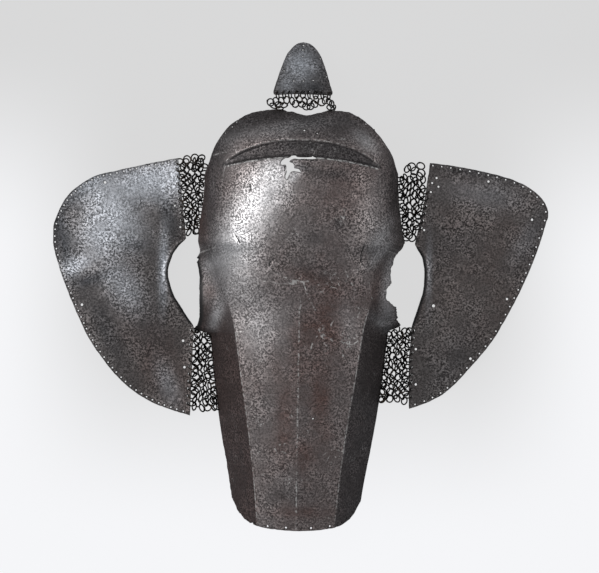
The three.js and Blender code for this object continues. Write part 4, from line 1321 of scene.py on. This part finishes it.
class Wiring:
    """Adds nodes to a tree and joins them."""

    def __init__(self, tree: bpy.types.NodeTree) -> None:
        """Starts on a tree."""
        self.tree = tree

    def add(self, kind: str, **settings: object) -> bpy.types.Node:
        """Adds a node with properties set by name."""
        node = self.tree.nodes.new(kind)
        for name, value in settings.items():
            setattr(node, name, value)
        return node

    def join(self, source: bpy.types.NodeSocket, target: bpy.types.NodeSocket) -> None:
        """Links two sockets."""
        self.tree.links.new(source, target)

    def feed(self, target: bpy.types.NodeSocket, value: object) -> None:
        """Links a socket or sets a constant."""
        if isinstance(value, bpy.types.NodeSocket):
            self.join(value, target)
        else:
            target.default_value = value

    def math(self, operation: str, a: object, b: object = 0.0, clamp: bool = False) -> bpy.types.NodeSocket:
        """Adds a sum or another operation on two values."""
        node = self.add("ShaderNodeMath", operation=operation, use_clamp=clamp)
        self.feed(node.inputs[0], a)
        self.feed(node.inputs[1], b)
        return node.outputs[0]

    def noise(self, vector: object, scale: object, detail: float, roughness: float = 0.5) -> bpy.types.NodeSocket:
        """Adds a noise texture and gives its value."""
        node = self.add("ShaderNodeTexNoise")
        self.feed(node.inputs["Vector"], vector)
        self.feed(node.inputs["Scale"], scale)
        node.inputs["Detail"].default_value = detail
        node.inputs["Roughness"].default_value = roughness
        return node.outputs["Fac"]

    def ramp(self, value: object, low: float, high: float) -> bpy.types.NodeSocket:
        """Maps low to high smoothly onto 0 to 1."""
        node = self.add("ShaderNodeMapRange", interpolation_type="SMOOTHSTEP")
        self.feed(node.inputs["Value"], value)
        node.inputs["From Min"].default_value = low
        node.inputs["From Max"].default_value = high
        return node.outputs["Result"]

    def blend(self, share: object, a: object, b: object, mode: str = "MIX") -> bpy.types.NodeSocket:
        """Mixes two colours."""
        node = self.add("ShaderNodeMix", data_type="RGBA", blend_type=mode)
        self.feed(node.inputs["Factor"], share)
        self.feed(node.inputs["A"], a)
        self.feed(node.inputs["B"], b)
        return node.outputs["Result"]

    def between(self, share: object, a: object, b: object) -> bpy.types.NodeSocket:
        """Mixes two values."""
        node = self.add("ShaderNodeMix", data_type="FLOAT")
        self.feed(node.inputs["Factor"], share)
        self.feed(node.inputs["A"], a)
        self.feed(node.inputs["B"], b)
        return node.outputs["Result"]

    def mask(self, name: str) -> bpy.types.NodeSocket:
        """Reads a mask that the mesh carries."""
        return self.add("ShaderNodeAttribute", attribute_name=name).outputs["Fac"]


def new_group(name: str, inputs: dict[str, float], outputs: Sequence[str]) -> tuple[Wiring, dict, dict]:
    """Starts a shader node group.

    Args:
        name: of the group.
        inputs: named values with their defaults.
        outputs: named results.

    Returns:
        The group's wiring, its input sockets and its output sockets by name.
    """
    tree = bpy.data.node_groups.new(name, "ShaderNodeTree")
    for key, default in inputs.items():
        tree.interface.new_socket(key, in_out="INPUT", socket_type="NodeSocketFloat").default_value = default
    for key in outputs:
        tree.interface.new_socket(key, in_out="OUTPUT", socket_type="NodeSocketFloat")
    wiring = Wiring(tree)
    entry = wiring.add("NodeGroupInput")
    leave = wiring.add("NodeGroupOutput")
    return wiring, {s.name: s for s in entry.outputs}, {s.name: s for s in leave.inputs}


def grain_group() -> bpy.types.NodeTree:
    """The salt-and-pepper grain of pitted steel, in clusters, over faint hammer marks.

    Returns:
        A group with Strength in, and Grain, Pits and Height out.
    """
    w, inputs, outputs = new_group("pitted_grain", {"Strength": 1.0}, ("Grain", "Pits", "Height"))
    place = w.add("ShaderNodeTexCoord").outputs["Object"]
    coarse = w.ramp(w.noise(place, 430, 2.5, 0.62), 0.37, 0.63)
    fine = w.ramp(w.noise(place, 1150, 2, 0.6), 0.36, 0.64)
    both = w.math("ADD", w.math("MULTIPLY", coarse, 0.72), w.math("MULTIPLY", fine, 0.28))
    clusters = w.ramp(w.noise(place, 30, 4, 0.7), 0.36, 0.62)
    strength = w.math("MULTIPLY", inputs["Strength"], w.between(clusters, 0.35, 1.15))
    grain = w.math("ADD", w.math("MULTIPLY", w.math("SUBTRACT", both, 0.42), strength), 0.42, clamp=True)
    grain = w.math("POWER", grain, 1.7)
    pits = w.math("MULTIPLY", w.ramp(both, 0.42, 0.12), strength, clamp=True)
    hammer = w.noise(place, 62, 2, 0.5)
    w.join(grain, outputs["Grain"])
    w.join(pits, outputs["Pits"])
    w.join(w.math("SUBTRACT", w.math("MULTIPLY", hammer, 0.6), pits), outputs["Height"])
    return w.tree


def patina_group() -> bpy.types.NodeTree:
    """Cloudy patches that break up an old steel surface.

    Returns:
        A group with Scale in, and Clouds, Mottle and Speckle out.
    """
    w, inputs, outputs = new_group("old_patina", {"Scale": 1.0}, ("Clouds", "Mottle", "Speckle"))
    place = w.add("ShaderNodeTexCoord").outputs["Object"]
    clouds = w.noise(place, w.math("MULTIPLY", inputs["Scale"], 11), 5, 0.62)
    mottle = w.noise(place, w.math("MULTIPLY", inputs["Scale"], 75), 6, 0.7)
    speckle = w.noise(place, w.math("MULTIPLY", inputs["Scale"], 650), 2, 0.65)
    w.join(w.ramp(clouds, 0.36, 0.64), outputs["Clouds"])
    w.join(w.ramp(mottle, 0.36, 0.66), outputs["Mottle"])
    w.join(w.ramp(speckle, 0.4, 0.68), outputs["Speckle"])
    return w.tree


def wavering_line_group() -> bpy.types.NodeTree:
    """A line that wavers and breaks up along its length, for rubbed wear and cracks and for painted highlight and
    shade.

    Returns:
        A group with Distance, Width, Waver and Gaps in, all in millimetres but Gaps, and Line out.
    """
    given = {"Distance": 99.0, "Width": 1.0, "Waver": 0.5, "Gaps": 0.4}
    w, inputs, outputs = new_group("worn_line", given, ("Line",))
    place = w.add("ShaderNodeTexCoord").outputs["Object"]
    shift = w.math("MULTIPLY", w.math("SUBTRACT", w.noise(place, 160, 3, 0.6), 0.5), inputs["Waver"])
    away = w.math("ABSOLUTE", w.math("ADD", inputs["Distance"], w.math("MULTIPLY", shift, 4.0)))
    line = w.math("SUBTRACT", 1.0, w.math("DIVIDE", away, inputs["Width"]), clamp=True)
    whole = w.ramp(w.math("SUBTRACT", w.noise(place, 210, 3, 0.7), w.math("MULTIPLY", inputs["Gaps"], 0.3)), 0.3, 0.5)
    w.join(w.math("MULTIPLY", w.ramp(line, 0.0, 0.7), whole), outputs["Line"])
    return w.tree


def scratch_group() -> bpy.types.NodeTree:
    """Thin pale scratches and crackled spots in a few places.

    Returns:
        A group with Amount in and Scratches out.
    """
    w, inputs, outputs = new_group("fine_scratches", {"Amount": 1.0}, ("Scratches",))
    place = w.add("ShaderNodeTexCoord").outputs["Object"]
    warped = w.add("ShaderNodeVectorMath", operation="ADD")
    bend = w.add("ShaderNodeVectorMath", operation="SCALE")
    wave = w.add("ShaderNodeTexNoise")
    w.join(place, wave.inputs["Vector"])
    wave.inputs["Scale"].default_value = 120
    w.join(wave.outputs["Color"], bend.inputs[0])
    bend.inputs["Scale"].default_value = 0.012
    w.join(place, warped.inputs[0])
    w.join(bend.outputs[0], warped.inputs[1])
    cells = w.add("ShaderNodeTexVoronoi", feature="DISTANCE_TO_EDGE")
    w.join(warped.outputs[0], cells.inputs["Vector"])
    cells.inputs["Scale"].default_value = 95
    cracks = w.ramp(cells.outputs["Distance"], 0.07, 0.02)
    sparse = w.ramp(w.noise(place, 26, 3, 0.6), 0.57, 0.7)
    broken = w.ramp(w.noise(place, 240, 2, 0.6), 0.45, 0.6)
    total = w.math("MULTIPLY", w.math("MULTIPLY", cracks, sparse), broken)
    w.join(w.math("MULTIPLY", total, inputs["Amount"], clamp=True), outputs["Scratches"])
    return w.tree


@dataclass(frozen=True)
class SteelFinish:
    """Old pitted steel, coloured by the fields that its plate carries.

    Args:
        name: of the material.
        plain, pale_and_highlight, rust, soot: its colours where nothing is painted, where it is rubbed
        bright and where highlights are painted, where it is red-brown, and where it is dark with soot and painted
        shade.
        grain: how strong the pitted grain is.
        shadow, glint: how far a pit darkens the colour and a bare grain lifts it.
        crackle: how strong the pale crackled scars are.
    """

    name: str
    plain: tuple[float, float, float, float]
    pale_and_highlight: tuple[float, float, float, float]
    rust: tuple[float, float, float, float]
    soot: tuple[float, float, float, float]
    grain: float = 1.0
    shadow: float = 0.5
    glint: float = 3.0
    crackle: float = 0.6
    roughness: float = 0.43
    metallic: float = 0.9
    bump: float = 0.4
    worn: tuple[float, float, float, float] = (0.7, 0.68, 0.66, 1)
    black: tuple[float, float, float, float] = (0.008, 0.007, 0.007, 1)

    def lines(self, w: Wiring, group: bpy.types.NodeTree) -> tuple[object, object]:
        """The bright lines, rubbed wear and painted highlights, and the dark ones: cracks, rims and painted shade.

        Args:
            w: the material's wiring.
            group: draws one line.

        Returns:
            The strength of both.
        """

        def line(distance: object, width: float, waver: float, gaps: float) -> bpy.types.NodeSocket:
            """One line around a distance field."""
            node = w.add("ShaderNodeGroup", node_tree=group)
            w.feed(node.inputs["Distance"], distance)
            for key, value in (("Width", width), ("Waver", waver), ("Gaps", gaps)):
                node.inputs[key].default_value = value
            return node.outputs[0]

        low, high = w.mask("low_crease"), w.mask("high_crease")
        # Painted highlights where the two crescent steps catch the light; then rubbed ridges, keel, scars and rims.
        bright = line(w.math("ADD", low, 0.5), 1.4, 0.5, 0.3)
        bright = w.math("MAXIMUM", bright, w.math("MULTIPLY", line(w.math("SUBTRACT", high, 0.7), 1.1, 0.4, 0.5), 0.6))
        bright = w.math("MAXIMUM", bright, w.math("MULTIPLY", line(w.mask("ridge"), 1.4, 0.2, 0.35), 0.6))
        bright = w.math("MAXIMUM", bright, w.math("MULTIPLY", line(w.mask("keel"), 1.5, 0.35, 0.5), 0.7))
        bright = w.math("MAXIMUM", bright, w.math("MULTIPLY", line(w.mask("scar"), 1.35, 0.4, 0.5), 0.65))
        bright = w.math("MAXIMUM", bright, w.math("MULTIPLY", line(w.mask("rim"), 0.8, 0.1, 1.1), 0.4))
        # Painted shade under the upper crescent step, at the foot of the lower one and under the rolled eye lips; then
        # dark rims and cracks.
        dark = w.math("MULTIPLY", line(w.math("ADD", high, 0.9), 1.2, 0.5, 0.9), 0.8)
        dark = w.math("MAXIMUM", dark, w.math("MULTIPLY", line(w.math("SUBTRACT", low, 1.6), 1.2, 0.5, 0.9), 0.5))
        dark = w.math("MAXIMUM", dark, line(w.mask("lip"), 4.6, 0.1, -0.6))
        dark = w.math("MAXIMUM", dark, w.math("MULTIPLY", line(w.mask("rim"), 1.8, 0.1, 0.1), 0.6))
        dark = w.math("MAXIMUM", dark, line(w.mask("crack"), 1.5, 0.15, 0.0))
        return bright, dark

    def build(self, groups: dict[str, bpy.types.NodeTree]) -> bpy.types.Material:
        """Makes the material.

        Args:
            groups: the shared effects by name.

        Returns:
            The material.
        """
        material = bpy.data.materials.new(self.name)
        material.use_nodes = True
        material.node_tree.nodes.clear()
        w = Wiring(material.node_tree)
        out = w.add("ShaderNodeOutputMaterial")
        shader = w.add("ShaderNodeBsdfPrincipled")
        w.join(shader.outputs[0], out.inputs[0])
        grained = w.add("ShaderNodeGroup", node_tree=groups["grain"])
        grained.inputs["Strength"].default_value = self.grain
        patina = w.add("ShaderNodeGroup", node_tree=groups["patina"])
        scarred = w.add("ShaderNodeGroup", node_tree=groups["scratches"])
        scarred.inputs["Amount"].default_value = self.crackle
        bright, dark = self.lines(w, groups["line"])
        polish, rust, soot = w.mask("polish"), w.mask("rust"), w.mask("soot")
        clouds, mottle = patina.outputs["Clouds"], patina.outputs["Mottle"]

        rusty = w.math("MULTIPLY", w.math("ADD", rust, w.math("MULTIPLY", clouds, 0.3)), w.between(mottle, 0.7, 1.1), clamp=True)
        base = w.blend(rusty, self.plain, self.rust)
        # Soot and painted shade darken the colour.
        sooty = w.math("MULTIPLY", w.math("ADD", soot, w.math("MULTIPLY", mottle, 0.12)), 1.0, clamp=True)
        base = w.blend(sooty, base, self.soot)
        # Rubbed-bright patches and painted highlights take the pale colour.
        base = w.blend(w.math("MULTIPLY", polish, w.between(mottle, 0.8, 1.0)), base, self.pale_and_highlight)
        gain = w.between(grained.outputs["Grain"], self.shadow, self.glint)
        gain = w.between(w.math("MULTIPLY", polish, 0.5), gain, 0.95)
        scaled = w.add("ShaderNodeVectorMath", operation="SCALE")
        w.join(base, scaled.inputs[0])
        w.join(gain, scaled.inputs["Scale"])
        crackled = w.math("MULTIPLY", scarred.outputs["Scratches"], w.math("SUBTRACT", 1.0, soot, clamp=True))
        base = w.blend(crackled, scaled.outputs[0], self.worn)
        # Rubbed lines and the painted crease highlights take the pale worn colour.
        base = w.blend(bright, base, self.worn)
        # Cracks, rim lines and the painted shade along creases and eye lips go near black.
        base = w.blend(dark, base, self.black)
        w.join(base, shader.inputs["Base Color"])

        rough = w.math("ADD", w.math("MULTIPLY", mottle, 0.1), self.roughness)
        rough = w.math("ADD", rough, w.math("MULTIPLY", grained.outputs["Pits"], 0.15))
        rough = w.math("ADD", rough, w.math("MULTIPLY", rusty, 0.08))
        rough = w.math("SUBTRACT", rough, w.math("MULTIPLY", polish, 0.04), clamp=True)
        w.join(rough, shader.inputs["Roughness"])
        metal = w.math("SUBTRACT", self.metallic, w.math("MULTIPLY", dark, 0.7))
        metal = w.math("SUBTRACT", metal, w.math("MULTIPLY", rusty, 0.25), clamp=True)
        w.join(metal, shader.inputs["Metallic"])
        bump = w.add("ShaderNodeBump")
        bump.inputs["Strength"].default_value = self.bump
        bump.inputs["Distance"].default_value = 0.0005
        w.join(grained.outputs["Height"], bump.inputs["Height"])
        w.join(bump.outputs["Normal"], shader.inputs["Normal"])
        return material


@dataclass(frozen=True)
class MailFinish:
    """Blackened wire, a little browner on some rings."""

    name: str
    dark: tuple[float, float, float, float] = (0.022, 0.02, 0.019, 1)
    brown: tuple[float, float, float, float] = (0.08, 0.06, 0.046, 1)
    roughness: float = 0.46
    metallic: float = 0.85

    def build(self, groups: dict[str, bpy.types.NodeTree]) -> bpy.types.Material:
        """Makes the material.

        Args:
            groups: the shared effects by name.

        Returns:
            The material.
        """
        material = bpy.data.materials.new(self.name)
        material.use_nodes = True
        material.node_tree.nodes.clear()
        w = Wiring(material.node_tree)
        out = w.add("ShaderNodeOutputMaterial")
        shader = w.add("ShaderNodeBsdfPrincipled")
        w.join(shader.outputs[0], out.inputs[0])
        patina = w.add("ShaderNodeGroup", node_tree=groups["patina"])
        patina.inputs["Scale"].default_value = 3
        tone = w.mask("tone")
        share = w.math("MULTIPLY", w.ramp(tone, 0.45, 1.0), patina.outputs["Mottle"])
        w.join(w.blend(share, self.dark, self.brown), shader.inputs["Base Color"])
        rough = w.math("ADD", w.math("MULTIPLY", patina.outputs["Speckle"], 0.2), self.roughness)
        w.join(rough, shader.inputs["Roughness"])
        shader.inputs["Metallic"].default_value = self.metallic
        bump = w.add("ShaderNodeBump")
        bump.inputs["Strength"].default_value = 0.3
        bump.inputs["Distance"].default_value = 0.0003
        w.join(patina.outputs["Speckle"], bump.inputs["Height"])
        w.join(bump.outputs["Normal"], shader.inputs["Normal"])
        return material


# ---- studio ----


@dataclass(frozen=True)
class Lamp:
    """A soft rectangular light that looks at the armour."""

    name: str
    place: tuple[float, float, float]
    width: float
    height: float
    watts: float
    colour: tuple[float, float, float] = (1, 1, 1)

    def build(self) -> bpy.types.Object:
        """Makes the light."""
        data = bpy.data.lights.new(self.name, "AREA")
        data.shape = "RECTANGLE"
        data.size, data.size_y = self.width, self.height
        data.energy = self.watts
        data.color = self.colour
        lamp = bpy.data.objects.new(self.name, data)
        lamp.location = self.place
        lamp.rotation_euler = (-Vector(self.place)).to_track_quat("-Z", "Y").to_euler()
        bpy.context.scene.collection.objects.link(lamp)
        return lamp


@dataclass
class Studio:
    """Pale floor, soft lights and the camera."""

    view_width: float = 0.7637
    view_centre: tuple[float, float] = (0.0001, -0.0018)
    view_turn: float = math.radians(0.945)
    camera_height: float = 5.0
    sensor: float = 36.0
    floor_size: float = 12.0
    lamps: tuple[Lamp, ...] = (
        Lamp("key_left", (-2.1, 0.75, 2.3), 1.5, 1.5, 42),
        Lamp("key_high", (-0.7, 1.5, 2.7), 1.1, 0.9, 13),
        Lamp("low_left", (-2.7, 0.3, 1.5), 1.0, 1.0, 9),
        Lamp("fill_right", (2.6, 0.5, 1.7), 1.4, 1.2, 17),
    )

    def floor(self) -> bpy.types.Object:
        """Makes the floor, evenly bright to the eye so that every hole in the metal reads pale."""
        half = self.floor_size / 2
        mesh = bpy.data.meshes.new("floor")
        mesh.from_pydata([(-half, -half, 0), (half, -half, 0), (half, half, 0), (-half, half, 0)], [], [(0, 1, 2, 3)])
        floor = bpy.data.objects.new("floor", mesh)
        bpy.context.scene.collection.objects.link(floor)
        material = bpy.data.materials.new("pale_and_highlight_floor")
        material.use_nodes = True
        material.node_tree.nodes.clear()
        w = Wiring(material.node_tree)
        out = w.add("ShaderNodeOutputMaterial")
        place = w.add("ShaderNodeTexCoord").outputs["Object"]
        split = w.add("ShaderNodeSeparateXYZ")
        w.join(place, split.inputs[0])
        down = w.ramp(w.math("MULTIPLY", split.outputs["Y"], -1.0), 0.02, 0.33)
        aside = w.ramp(w.math("ABSOLUTE", split.outputs["X"]), 0.2, 0.4)
        level = w.math("MULTIPLY", aside, w.ramp(w.math("MULTIPLY", split.outputs["Y"], -1.0), -0.32, -0.02))
        both = w.math("MULTIPLY", w.math("SUBTRACT", 1.0, down), w.math("SUBTRACT", 1.0, level))
        tone = w.blend(both, (0.9, 0.905, 0.925, 1), (0.675, 0.675, 0.677, 1))
        glow = w.add("ShaderNodeEmission")
        w.join(tone, glow.inputs["Color"])
        plain = w.add("ShaderNodeBsdfDiffuse")
        plain.inputs["Color"].default_value = (0.02, 0.02, 0.02, 1)
        seen = w.add("ShaderNodeAddShader")
        w.join(glow.outputs[0], seen.inputs[0])
        w.join(plain.outputs[0], seen.inputs[1])
        unseen = w.add("ShaderNodeBsdfDiffuse")
        unseen.inputs["Color"].default_value = (0.3, 0.3, 0.31, 1)
        pick = w.add("ShaderNodeMixShader")
        w.join(w.add("ShaderNodeLightPath").outputs["Is Camera Ray"], pick.inputs[0])
        w.join(unseen.outputs[0], pick.inputs[1])
        w.join(seen.outputs[0], pick.inputs[2])
        w.join(pick.outputs[0], out.inputs[0])
        mesh.materials.append(material)
        return floor

    def camera(self) -> bpy.types.Object:
        """Makes the camera, looking straight down on the outer face."""
        data = bpy.data.cameras.new("camera")
        data.sensor_width = self.sensor
        data.lens = self.sensor * self.camera_height / self.view_width
        camera = bpy.data.objects.new("camera", data)
        camera.location = (*self.view_centre, self.camera_height)
        camera.rotation_euler = (0, 0, self.view_turn)
        bpy.context.scene.collection.objects.link(camera)
        bpy.context.scene.camera = camera
        return camera

    def build(self) -> None:
        """Makes the whole studio."""
        self.camera()
        self.floor()
        for lamp in self.lamps:
            lamp.build()
        world = bpy.data.worlds.new("studio")
        world.use_nodes = True
        back = world.node_tree.nodes["Background"]
        back.inputs["Color"].default_value = (0.9, 0.95, 1, 1)
        back.inputs["Strength"].default_value = 0.29
        bpy.context.scene.world = world
        scene = bpy.context.scene
        scene.view_settings.view_transform = "Standard"


# ---- assembly ----


def dress(piece: bpy.types.Object, material: bpy.types.Material, slot: str, *nodes: str) -> None:
    """Gives a piece its finish and its place in the frame.

    Args:
        piece: the piece.
        material: its finish.
        slot: the record's material slot; not used.
        nodes: the frame's nodes that it stands for.
    """
    piece.data.materials.append(material)
    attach(piece, "root")
    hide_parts(*nodes)
    log.info("dressed %s", piece.name)


def nodes_named(start: str) -> list[str]:
    """The frame's nodes whose names begin with some words."""
    return [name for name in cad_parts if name.startswith(start)]


def cheek_plates(origin: Vector) -> dict[Side, CheekPlate]:
    """The two cheek plates with their own outlines.

    Args:
        origin: of the armour's own drawing in the frame.

    Returns:
        The plates by side.
    """
    left = CheekPlate(
        side=Side.LEFT, origin=origin, rim_pitch=8.5, seed=41,
        upper=(Spot(158, 168), Spot(145.3, 57)),
        eye=(Spot(145.3, 57), Spot(154, 48), Spot(162, 36), Spot(167.6, 15), Spot(162, -9),
             Spot(150.5, -29), Spot(133.5, -54)),
        lower=(Spot(133.5, -54), Spot(137, -176)),
        outer_rim=(Spot(157, 160.4), Spot(197, 152.2), Spot(238, 142.4), Spot(266, 134.5),
                   Spot(296, 112), Spot(313, 80), Spot(316, 52), Spot(306, 16), Spot(287, -31.4),
                   Spot(262, -80), Spot(224, -126), Spot(184, -152.5), Spot(136.8, -168)),
        big_holes=(Hole(250, 127.4, 1.7), Hole(276.8, -28.7, 1.7), Hole(147.4, -72.5, 1.6),
                   Hole(145.1, -106.1, 1.6), Hole(160.6, 99.2, 1.2), Hole(153.2, 72.1, 1.2)),
        link_rows=(),
        # Painted highlight over the plate's top and along its eye lip, with rubbed-bright patches.
        polish=(Blotch(196, 128, 60, 22, -8, 0.95), Blotch(238, 90, 44, 24, 50, 0.7),
                Blotch(256, 60, 30, 26, 70, 0.6), Blotch(224, -4, 34, 20, 60, 0.45),
                Blotch(284, 22, 20, 10, -25, 0.6), Blotch(174, 22, 42, 6, 90, 0.75),
                Blotch(166, 140, 16, 12, 0, 0.6), Blotch(166, -128, 30, 12, 70, 0.25)),
        rust=(Blotch(180, -95, 60, 40, 60, 0.8), Blotch(150, -140, 40, 20, 90, 0.5)),
        soot=(Blotch(264, 4, 30, 9, -16, 0.75), Blotch(166, 80, 34, 12, 75, 0.7),
              Blotch(304, 60, 62, 16, 78, 0.85), Blotch(276, 120, 44, 14, -38, 0.85),
              Blotch(216, 50, 26, 12, 10, 0.5), Blotch(176, 106, 22, 9, 40, 0.4),
              Blotch(252, -50, 66, 16, 60, 0.5), Blotch(190, -60, 40, 30, 60, 0.3)),
    )
    right = CheekPlate(
        side=Side.RIGHT, origin=origin, rim_pitch=12, seed=51,
        upper=(Spot(164, 168), Spot(155.8, 108), Spot(145.3, 55)),
        eye=(Spot(145.3, 55), Spot(155.7, 37), Spot(159, 18), Spot(157.6, -2), Spot(152, -24),
             Spot(142.6, -52)),
        lower=(Spot(142.6, -52), Spot(140, -108), Spot(141.5, -164)),
        outer_rim=(Spot(162.6, 159.3), Spot(191, 156.3), Spot(228, 150), Spot(260, 142.7),
                   Spot(286, 132.5), Spot(307, 116), Spot(315.4, 99), Spot(312, 81), Spot(298, 37.4),
                   Spot(276, -13), Spot(250, -61), Spot(227, -91.3), Spot(196, -126),
                   Spot(173, -142.5), Spot(141.8, -155)),
        big_holes=(Hole(238.2, 136.7, 1.5), Hole(294.6, 89, 1.5), Hole(264.1, -12.6, 1.5),
                   Hole(170.6, -22.8, 1.9), Hole(218.8, -89.3, 1.6), Hole(149.2, -78.3, 1.5),
                   Hole(149.9, -123.2, 1.5), Hole(157.2, 73.4, 1.4), Hole(172, 140, 1.4),
                   Hole(174.5, 129, 1.3), Hole(166.5, 133.5, 1.3), Hole(165, 122, 1.3)),
        link_rows=(),
        # Faint rubbed-bright patches and painted highlights on the top and along the eye lip.
        polish=(Blotch(230, 120, 50, 16, -10, 0.16), Blotch(164, 18, 40, 4, 90, 0.3),
                Blotch(285, 60, 34, 12, 60, 0.1)),
        rust=(Blotch(225, 40, 110, 80, 90, 0.45),),
        soot=(Blotch(200, 60, 40, 30, 30, 0.3), Blotch(200, -90, 60, 30, 60, 0.3),
              Blotch(230, 148, 90, 9, -8, 0.5), Blotch(300, 70, 60, 12, 75, 0.35)),
    )
    return {Side.LEFT: left, Side.RIGHT: right}


def main() -> None:
    """Builds the studio, the plates and the mail, and reports each piece."""
    logging.basicConfig(level=logging.INFO, format="%(name)s: %(message)s")
    Studio().build()
    groups = {
        "grain": grain_group(), "patina": patina_group(),
        "line": wavering_line_group(), "scratches": scratch_group(),
    }
    face_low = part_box("face_plate")[0]
    poll_low, poll_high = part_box("poll_plate")
    origin = Vector(((poll_low.x + poll_high.x) / 2, face_low.y + 309 * MM, 0))

    face_steel = SteelFinish(
        name="face_steel", plain=(0.155, 0.138, 0.135, 1), pale_and_highlight=(0.5, 0.49, 0.495, 1),
        rust=(0.1, 0.06, 0.052, 1), soot=(0.04, 0.038, 0.039, 1), crackle=1.0,
    ).build(groups)
    side_steel = SteelFinish(
        name="side_steel", plain=(0.082, 0.075, 0.073, 1), pale_and_highlight=(0.4, 0.415, 0.445, 1),
        rust=(0.068, 0.05, 0.045, 1), soot=(0.026, 0.027, 0.03, 1), crackle=0.1, shadow=0.4, glint=4.4,
    ).build(groups)
    mail_steel = MailFinish(name="mail_steel").build(groups)

    face = FacePlate(origin=origin)
    cheeks = cheek_plates(origin)
    poll = PollPlate(origin=origin)
    panels = (
        SideMail(
            "mail_upper_left_rings", cheeks[Side.LEFT], face, 160, 58, columns=6, seed=101, linked=(158, 60),
            free=(FreeRing(-136, 160, 9, 20, 20), FreeRing(-130, 155, 12, 130, 30), FreeRing(-134, 150, 8, 80, 40),
                  FreeRing(-146, 158, 8, 200, 25), FreeRing(-128, 160, 13, 300, 45)),
        ),
        SideMail(
            "mail_lower_left_rings", cheeks[Side.LEFT], face, -54, -164, columns=7, seed=102,
            linked=(-56, -166),
        ),
        SideMail(
            "mail_upper_right_rings", cheeks[Side.RIGHT], face, 146, 60, columns=7, seed=103,
            linked=(124, 76),
            free=(FreeRing(140, 153.5, 9, 20, 15), FreeRing(144, 148.5, 9, 140, 25), FreeRing(152, 146, 7, 60, 20),
                  FreeRing(151.5, 155, 8, 250, 40), FreeRing(134.5, 151, 12, 330, 50)),
        ),
        SideMail(
            "mail_lower_right_rings", cheeks[Side.RIGHT], face, -50, -152, columns=7, seed=104,
            linked=(-54, -154),
        ),
    )
    for side, cheek in cheeks.items():
        rows = [row for panel in panels if panel.cheek is cheek for row in panel.laced_rows()]
        cheek.link_rows = tuple(rows)

    dress(face.build(), face_steel, "face_steel", "face_plate")
    for side, cheek in cheeks.items():
        dress(cheek.build(), side_steel, "side_steel", f"cheek_plate_{side.word}")
    dress(poll.build(), side_steel, "side_steel", "poll_plate")
    for panel in panels:
        node = panel.name.removesuffix("_rings")
        rings = nodes_named(f"ring_{node.removeprefix('mail_')}_")
        dress(panel.build(origin), mail_steel, "mail_steel", node, *rings)
    dress(PollMail(poll).build(origin), mail_steel, "mail_steel", "mail_poll", *nodes_named("ring_poll_"))


if __name__ == "__main__":
    main()
